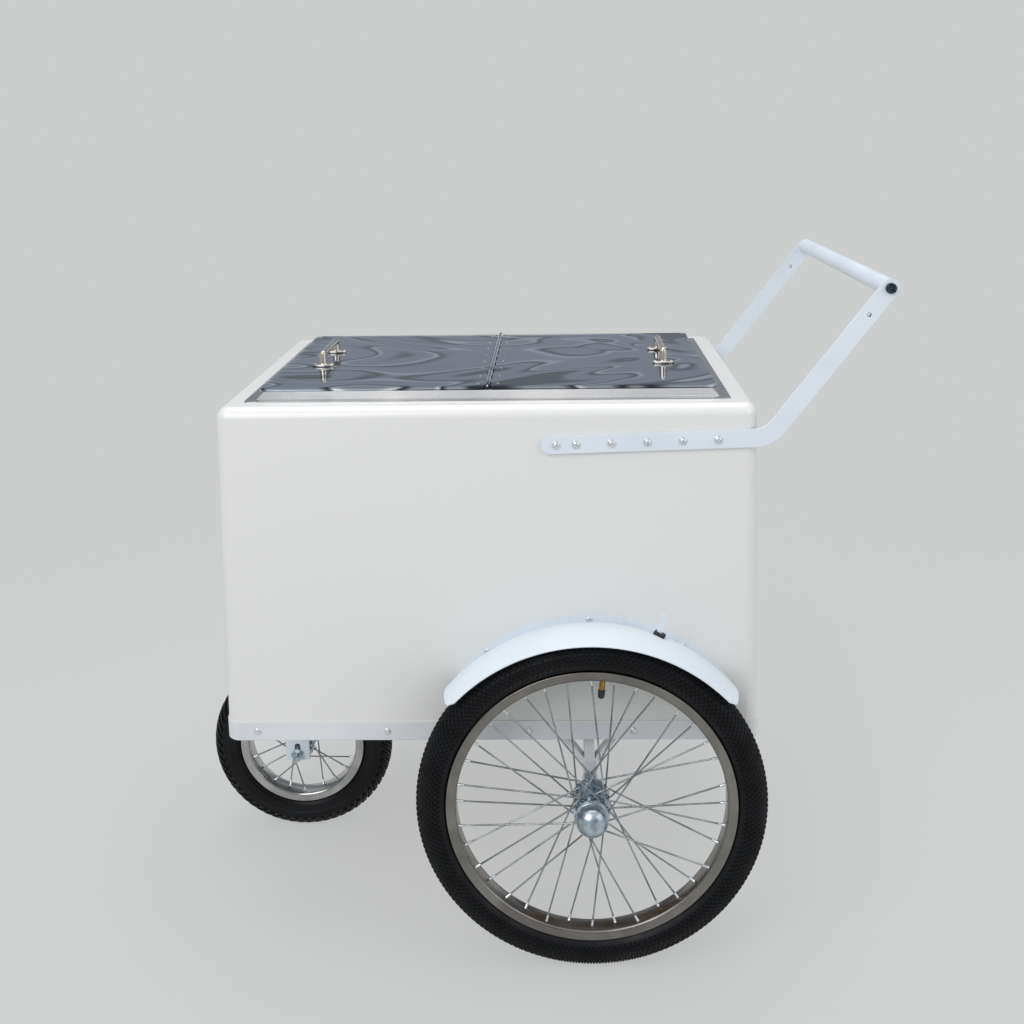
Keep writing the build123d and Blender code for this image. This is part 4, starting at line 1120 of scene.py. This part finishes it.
# ================================================================ lids
@dataclass
class Lid:
    """One of the two lids that share the centre hinge."""

    word: str
    buckle: float = 0.35 * MM
    cells_x: int = 26
    cells_y: int = 34
    border: float = 2 * MM
    margin: float = 12 * MM
    swell_size: float = 0.11
    pull_foot: float = 3.4 * MM

    @property
    def body(self) -> str:
        """The lid's CAD body."""
        return f"{self.word}_lid"

    def build_skin(self) -> None:
        """Cut the skin's top into cells and let a slow swell buckle it, as thin sheet does."""
        node = f"{self.word}_lid_skin"
        low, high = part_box(node)
        skin = refined(node, 0.7 * MM)
        bpy.ops.mesh.customdata_custom_splitnormals_clear()
        edit_all(skin)
        for axis, count in ((0, self.cells_x), (1, self.cells_y)):
            normal = Vector((1, 0, 0)) if axis == 0 else Vector((0, 1, 0))
            for number in range(1, count):
                at = Vector(low)
                at[axis] = low[axis] + (high[axis] - low[axis]) * number / count
                bpy.ops.mesh.select_all(action="SELECT")
                bpy.ops.mesh.bisect(plane_co=at, plane_no=normal)
        close_edit()
        inner = skin.vertex_groups.new(name="sheet")
        for vertex in skin.data.vertices:
            spot = vertex.co
            inset = min(spot.x - low.x, high.x - spot.x, spot.y - low.y, high.y - spot.y)
            if spot.z > high.z - 0.05 * MM and inset > self.border:
                inner.add([vertex.index], min(1.0, inset / self.margin), "REPLACE")
        swell = bpy.data.textures.new(f"{self.word}_lid_swell", "CLOUDS")
        swell.noise_scale = self.swell_size
        swell.noise_depth = 1
        apply_modifier(skin, "DISPLACE", texture=swell, texture_coords="LOCAL", direction="Z",
                       mid_level=1.0, strength=self.buckle, vertex_group="sheet")
        smooth(skin, 30)
        hand_over(skin, f"{self.word}_lid_sheet", MIRROR, self.body, [node])

    def build_fasteners(self) -> None:
        """Dome rivets along the hinge, and the pull's screws."""
        node = f"{self.word}_lid_fasteners"
        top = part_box(f"{self.word}_lid_skin")[1].z
        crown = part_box(node)[1].z
        rivets, screws = [], []
        for low, high in islands(node):
            centre = (low + high) / 2
            seat = Vector((centre.x, centre.y, top))
            if high.z < crown - 1 * MM:
                rivets.append(turned_to(seat, Vector((0, 0, 1))))
            else:
                screws.append(turned_to(seat + Vector((0, 0, self.pull_foot)), Vector((0, 0, 1))))
        heads = copies(screw_master(1.9 * MM, 0.6 * MM, Drive.DOME), rivets)
        drives = copies(screw_master(3.1 * MM, 1.6 * MM, Drive.PHILLIPS), screws)
        hand_over(join([heads, drives]), f"{self.word}_lid_rivets", BRUSHED, self.body,
                  [node])

    def build_pull(self) -> None:
        """Blend the pull's bar, posts and feet to one soft casting."""
        node = f"{self.word}_lid_pull"
        pull = copy_of(node)
        apply_modifier(pull, "REMESH", mode="VOXEL", voxel_size=0.8 * MM)
        apply_modifier(pull, "SMOOTH", factor=0.5, iterations=7)
        smooth(pull, 60)
        hand_over(pull, f"{self.word}_lid_pull_cast", NICKEL, self.body, [node])

    def build(self) -> None:
        """Make the lid."""
        self.build_skin()
        self.build_fasteners()
        self.build_pull()
        paint(f"{self.word}_lid_hinge_leaf", MIRROR)
        paint(f"{self.word}_lid_core", FOAM)
        paint(f"{self.word}_lid_gasket", SOFT_RUBBER)
        refine(f"{self.word}_lid_inner_panel", f"{self.word}_lid_plug", LINER, self.body,
               1.5 * MM)


# ================================================================ push handle
@dataclass
class PushHandle:
    """Two bent flat bars along the sides, and the cross tube between their ends."""

    washer_radius: float = 6.2 * MM
    washer_height: float = 1.2 * MM
    head_radius: float = 4.6 * MM
    head_height: float = 2.6 * MM
    sleeve_wall: float = 0.35 * MM

    def build(self) -> None:
        """Refine the bars and tube, and set the screws."""
        for side in Side:
            refine(f"{side.word}_handle_arm", f"{side.word}_arm_flat_bar", POWDER, "cart",
                   0.9 * MM)
        refine("handle_tube", "push_tube", POWDER, "cart", 0.4 * MM)
        refine("handle_bolts", "push_tube_bolts", BLACKED, "cart", 0.4 * MM)
        self.build_screws()
        self.build_shade_sleeves()

    def build_shade_sleeves(self) -> None:
        """Line the two bell rod holes with thin dark sleeves, which narrow them by their wall; their dark is
        painted shade inside the holes.
        """
        sleeves = []
        for mount in frame["record"]["mounts"]:
            place = Vector(mount["pos_m"])
            radius = mount["dims"]["r_mm"] * MM
            half = mount["dims"]["length_mm"] * MM / 2
            ring = lathe([(-half, radius - self.sleeve_wall), (-half, radius), (half, radius),
                          (half, radius - self.sleeve_wall)], 28, closed=True)
            sleeves.append(put(ring, Matrix.Translation(place)))
        # Dark sleeves: painted shade inside the bell rod holes.
        hand_over(join(sleeves), "bell_hole_shade_sleeves", BLACKED, "cart")

    def build_screws(self) -> None:
        """Pan head screws, each on a washer against the bar."""
        places = side_seats("handle_screws", lambda _low, _high, out: outer_face(
            f"{Side(out).word}_handle_arm", out), step=37)
        r = self.washer_radius
        washer = lathe([(0.0, 0.0), (0.0, r), (self.washer_height - 0.3 * MM, r),
                        (self.washer_height, r - 0.4 * MM), (self.washer_height, 0.0)], 28)
        head = screw_master(self.head_radius, self.head_height, Drive.PHILLIPS)
        put(head, Matrix.Translation((0, self.washer_height, 0)))
        hand_over(copies(join([washer, head]), places), "arm_pan_screws", SCREW, "cart",
                  ["handle_screws"])


# ================================================================ fenders and brakes
@dataclass
class Fender:
    """Rolled fender with rounded ends, and the brake lever through it."""

    side: Side
    half_angle: float = 50.0
    brake_angle: float = 21.0
    drop: float = 8.0 * MM
    sheet: float = 1.5 * MM
    steps: int = 96
    flange_top: float = 9.5 * MM
    flange_foot: float = 24.5 * MM
    roof_gap: float = 2 * MM
    roof_rows: int = 14
    roof_rise: float = 26 * MM
    lip_fall: float = 10.5 * MM
    crest: float = 0.62
    corner: float = 14 * MM
    taper_from: float = 36.0
    taper: float = 5 * MM

    def build(self) -> None:
        """Make the fender, its grommet and rivets, and refine the lever."""
        word, out = self.side.word, self.side.value
        hub = middle(f"{word}_wheel_tyre")
        axle = hub - Vector((0, 0, self.drop))
        low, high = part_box(f"{word}_fender")
        wall = (abs(low.y) if out > 0 else abs(high.y)) - abs(hub.y) + self.sheet / 2
        lip = (abs(high.y) if out > 0 else abs(low.y)) - abs(hub.y)
        self.make_sheet(word, out, axle, wall, lip, high.z - axle.z)
        self.make_slot_shade_grommet(word, axle, high.z - axle.z)
        self.make_rivets(word, out, axle, wall, high.z - axle.z)
        refine(f"{word}_brake_lever", f"{word}_brake_lever_bar", POWDER, f"{word}_brake",
               0.6 * MM)

    def make_sheet(self, word: str, out: int, axle: Vector, wall: float, lip: float,
                   crown: float) -> None:
        """Turn the section through the fender's arc and round its ends. It has no lever slot.

        Args:
            word: The side's name.
            out: The side's sign.
            axle: Middle of the fender's arc, in the plane of the wheel.
            wall: Outboard distance of the wall flange's middle.
            lip: Outboard distance of the outer lip.
            crown: Outer radius of the crown.
        """
        top = crown - self.sheet / 2
        flange = [(wall, top - self.flange_top), (wall, top - self.flange_foot)]
        inner_y = wall + self.roof_gap
        span = lip - inner_y
        roof = []
        for row in range(self.roof_rows + 1):
            share = row / self.roof_rows
            if share < self.crest:
                rise = self.roof_rise * (1 - (1 - share / self.crest) ** 2)
            else:
                rise = self.roof_rise - self.lip_fall * ((share - self.crest) / (1 - self.crest)) ** 1.8
            roof.append((inner_y + span * share, top - self.roof_rise + rise))
        sheet = lathe([flange[0], flange[1], *roof], self.steps, angle=2 * self.half_angle)
        put(sheet, Matrix.Rotation(-math.radians(self.half_angle), 4, "Y"))
        self.fit(sheet, inner_y, span)
        apply_modifier(sheet, "SOLIDIFY", thickness=self.sheet, offset=0.0)
        smooth(sheet, 40)
        turn = Matrix.Rotation(math.pi if out < 0 else 0.0, 4, "Z")
        put(sheet, Matrix.Translation(axle) @ turn)
        hand_over(sheet, f"{word}_fender_rolled", FENDER_POWDER, "cart", [f"{word}_fender"])

    def around(self, axle: Vector, y: float, radius: float, angle: float) -> tuple[Vector, Vector]:
        """A point over the arc, and the way up there.

        Args:
            axle: Middle of the arc.
            y: The point's Y.
            radius: Its distance from the arc's axis.
            angle: Degrees from straight up, towards the handle.

        Returns:
            The point and the outward direction.
        """
        up = Vector((math.sin(math.radians(angle)), 0, math.cos(math.radians(angle))))
        return Vector((axle.x, y, axle.z)) + up * radius, up

    def make_slot_shade_grommet(self, word: str, axle: Vector, crown: float) -> None:
        """Mould the black grommet at the brake lever: solid, so the lever runs through its body. Its black
        also stands for the shade of the lever's slot, which the sheet does not have.
        """
        lever = middle(f"{word}_brake_lever")
        base, up = self.around(axle, lever.y, crown - 0.6 * MM, self.brake_angle)
        clear_selection()
        bpy.ops.mesh.primitive_cube_add(size=1.0)
        grommet = bpy.context.object
        edit_all(grommet)
        bpy.ops.transform.resize(value=(17 * MM, 4.5 * MM, 10 * MM))
        bpy.ops.transform.translate(value=(0, 2.2 * MM, 0))
        close_edit()
        select_faces(grommet, lambda face: face.normal.y > 0.9)
        bpy.ops.mesh.inset(thickness=1.8 * MM, depth=0)
        bpy.ops.transform.translate(value=(0, 1.6 * MM, 0))
        bpy.ops.mesh.inset(thickness=1.2 * MM, depth=-1.2 * MM)
        close_edit()
        apply_modifier(grommet, "BEVEL", width=0.7 * MM, segments=2, limit_method="ANGLE")
        smooth(grommet, 40)
        put(grommet, turned_to(base, up))
        # Black grommet: also painted shade of the lever's slot.
        hand_over(grommet, f"{word}_brake_grommet", BLACK_PLASTIC, "cart")

    def make_rivets(self, word: str, out: int, axle: Vector, wall: float, crown: float) -> None:
        """Set the two rivets of the brake bracket beside the lever."""
        y = middle(f"{word}_wheel_tyre").y + out * (wall + 10 * MM)
        places = []
        for angle in (self.brake_angle - 10, self.brake_angle - 6.5):
            seat, up = self.around(axle, y, crown - 12.6 * MM, angle)
            places.append(turned_to(seat, up))
        rivets = copies(screw_master(2.6 * MM, 1.7 * MM, Drive.DOME), places)
        hand_over(rivets, f"{word}_brake_rivets", SCREW, "cart")

    def fit(self, sheet: bpy.types.Object, inner_y: float, span: float) -> None:
        """Centre the arc on straight up, and round its two ends.

        Args:
            sheet: The turned sheet about the Y axis.
            inner_y: Where the roof starts.
            span: The roof's width.
        """
        angles = [math.atan2(v.co.x, v.co.z) for v in sheet.data.vertices]
        shift = (min(angles) + max(angles)) / 2
        corner = self.corner
        for vertex, angle in zip(sheet.data.vertices, angles):
            reach = math.hypot(vertex.co.x, vertex.co.z)
            side = (vertex.co.y - inner_y) / span
            inset = max(0.0, corner - (1 - side) * span) if side > 0 else 0.0
            cut = corner - math.sqrt(max(0.0, corner ** 2 - inset ** 2))
            limit = math.radians(self.half_angle) - cut / reach
            turned = (angle - shift) * limit / math.radians(self.half_angle)
            if side < 0:
                past = abs(math.degrees(turned)) - self.taper_from
                reach -= self.taper * max(0.0, past / (self.half_angle - self.taper_from)) ** 2
            vertex.co.x = reach * math.sin(turned)
            vertex.co.z = reach * math.cos(turned)


@dataclass
class FenderFasteners:
    """Screws of both fenders."""

    head_radius: float = 4.6 * MM
    head_height: float = 2.6 * MM

    def build(self) -> None:
        """Set a pan head where each CAD screw is."""
        places = side_seats("fender_screws", lambda low, high, out: (
            (low.y if out < 0 else high.y) - out * self.head_height), 20, 31)
        head = screw_master(self.head_radius, self.head_height, Drive.PHILLIPS)
        hand_over(copies(head, places), "fender_pan_screws", SCREW, "cart",
                  ["fender_screws"])


# ================================================================ undercarriage
@dataclass
class Undercarriage:
    """Fork, axles, brackets and nuts."""

    def build(self) -> None:
        """Refine the steelwork under the tub."""
        refine("front_fork", "fork_plates", POWDER, "cart", 0.7 * MM)
        refine("rear_brackets", "axle_brackets", FRAME_POWDER, "cart", 0.7 * MM)
        refine("brake_brackets", "brake_pivot_brackets", POWDER, "cart", 0.3 * MM)
        refine("axle_nuts", "axle_hex_nuts", ZINC, "cart", 0.5 * MM)
        paint("front_axle", ZINC)
        paint("rear_axle", ZINC)


# ================================================================ studio
@dataclass
class Studio:
    """Pale floor that runs into a pale surround, soft lights and the camera."""

    floor_half: float = 40.0
    surround: str = "CCCECD"
    eye: tuple[float, float, float] = (0.0693, -1.9749, 1.2186)
    focal_mm: float = 42.79
    shift: tuple[float, float] = (-0.0194, -0.16)

    def build(self) -> None:
        """Set the stage."""
        self.lay_floor()
        self.light()
        self.surround_world()
        self.set_camera()
        bpy.context.scene.view_settings.view_transform = "Standard"

    def lay_floor(self) -> None:
        """A flat floor that turns to the surround's own colour away from the cart."""
        clear_selection()
        bpy.ops.mesh.primitive_plane_add(size=2 * self.floor_half)
        floor = bpy.context.object
        floor.name = "studio_floor"
        stuff = bpy.data.materials.new("studio_floor_paper")
        stuff.use_nodes = True
        tree = stuff.node_tree
        shader = tree.nodes["Principled BSDF"]
        shader.inputs["Base Color"].default_value = linear("D2D4D3")
        shader.inputs["Roughness"].default_value = 0.9
        glow = add_node(tree, "ShaderNodeEmission", {"Color": linear(self.surround), "Strength": 1.0})
        place = add_node(tree, "ShaderNodeTexCoord").outputs["Object"]
        reach = add_node(tree, "ShaderNodeVectorMath", {"operation": "LENGTH"}, {0: place})
        share = add_node(tree, "ShaderNodeMapRange", {"From Min": 1.0, "From Max": 2.6,
                                                      "To Min": 0.72, "To Max": 1.0},
                         {"Value": reach.outputs["Value"]})
        blend = add_node(tree, "ShaderNodeMixShader", links={
            0: share.outputs["Result"], 1: shader.outputs[0], 2: glow.outputs[0]})
        tree.links.new(blend.outputs[0], tree.nodes["Material Output"].inputs["Surface"])
        floor.data.materials.append(stuff)

    def light(self) -> None:
        """Large soft lights: a key from the front left, a fill, a top light and one behind."""
        for name, spot, size, power in (
                ("key_softbox", (-1.6, -2.6, 2.6), 2.2, 50.0),
                ("fill_softbox", (2.6, -1.8, 1.8), 2.2, 20.0),
                ("top_softbox", (0.0, 0.4, 3.4), 2.4, 27.0),
                ("rear_softbox", (0.5, 2.0, 3.6), 2.0, 14.0)):
            lamp = bpy.data.lights.new(name, "AREA")
            lamp.energy = power
            lamp.size = size
            lamp.shape = "SQUARE"
            holder = bpy.data.objects.new(name, lamp)
            bpy.context.collection.objects.link(holder)
            aim = Vector((0.05, 0.0, 0.55)) - Vector(spot)
            holder.location = spot
            holder.rotation_euler = aim.to_track_quat("-Z", "Y").to_euler()

    def surround_world(self) -> None:
        """A surround that is pale low down, and dims in a band that the mirror lids show."""
        world = bpy.data.worlds.new("studio_surround")
        world.use_nodes = True
        tree = world.node_tree
        place = add_node(tree, "ShaderNodeTexCoord").outputs["Generated"]
        parts = add_node(tree, "ShaderNodeSeparateXYZ", links={"Vector": place})
        band = add_node(tree, "ShaderNodeValToRGB", links={"Fac": parts.outputs["Z"]})
        set_stops(band, ((0.0, self.surround), (0.1, self.surround), (0.118, "979DA6"),
                         (0.40, "999EA6"), (0.62, "D0D1D3"), (1.0, "E4E5E6")))
        tree.links.new(band.outputs["Color"], tree.nodes["Background"].inputs["Color"])
        bpy.context.scene.world = world

    def set_camera(self) -> None:
        """Stand the camera at about chest height, looking a little down at the near side."""
        yaw, pitch, roll = -0.0227, 0.183, -0.0138
        level = math.cos(pitch)
        ahead = Vector((math.sin(yaw) * level, math.cos(yaw) * level, -math.sin(pitch)))
        right = ahead.cross(Vector((0, 0, 1))).normalized()
        upward = right.cross(ahead)
        across = right * math.cos(roll) + upward * math.sin(roll)
        above = upward * math.cos(roll) - right * math.sin(roll)
        lens = bpy.data.cameras.new("camera")
        lens.lens = self.focal_mm
        lens.sensor_width = 36.0
        lens.shift_x, lens.shift_y = self.shift
        holder = bpy.data.objects.new("camera", lens)
        bpy.context.collection.objects.link(holder)
        turn = Matrix((across, above, -ahead)).transposed().to_4x4()
        holder.matrix_world = Matrix.Translation(self.eye) @ turn
        bpy.context.scene.camera = holder


def main() -> None:
    """Build every sub-assembly of the cart, then the studio."""
    logging.basicConfig(level=logging.INFO, format="%(name)s: %(message)s")
    rear_axle = middle("left_wheel_rim")
    front_axle = middle("front_wheel_rim")
    rear_rim = Turned("rim_steel_satin", "8E8A85", 0.27, 1.0, drift="797571",
                      axle=(rear_axle.x, 0.0, rear_axle.z))
    front_rim = Turned("rim_steel_chromed", "B9B9B7", 0.12, 1.0, drift="9D9D9B",
                       axle=(front_axle.x, 0.0, front_axle.z), ring_depth=0.01)
    Tub().build()
    for word in ("front", "rear"):
        Lid(word).build()
    PushHandle().build()
    for side in Side:
        RearWheel(side.word, side.value, 36, 40 * MM, 22 * MM, 60.0, 360, 24, 2.0 * MM,
                  rear_rim).build()
        Fender(side).build()
    FrontWheel("front", 1, 20, 44 * MM, 18 * MM, 72.0, 240, 56, 2.4 * MM, front_rim).build()
    FenderFasteners().build()
    Undercarriage().build()
    Studio().build()


if __name__ == "__main__":
    main()
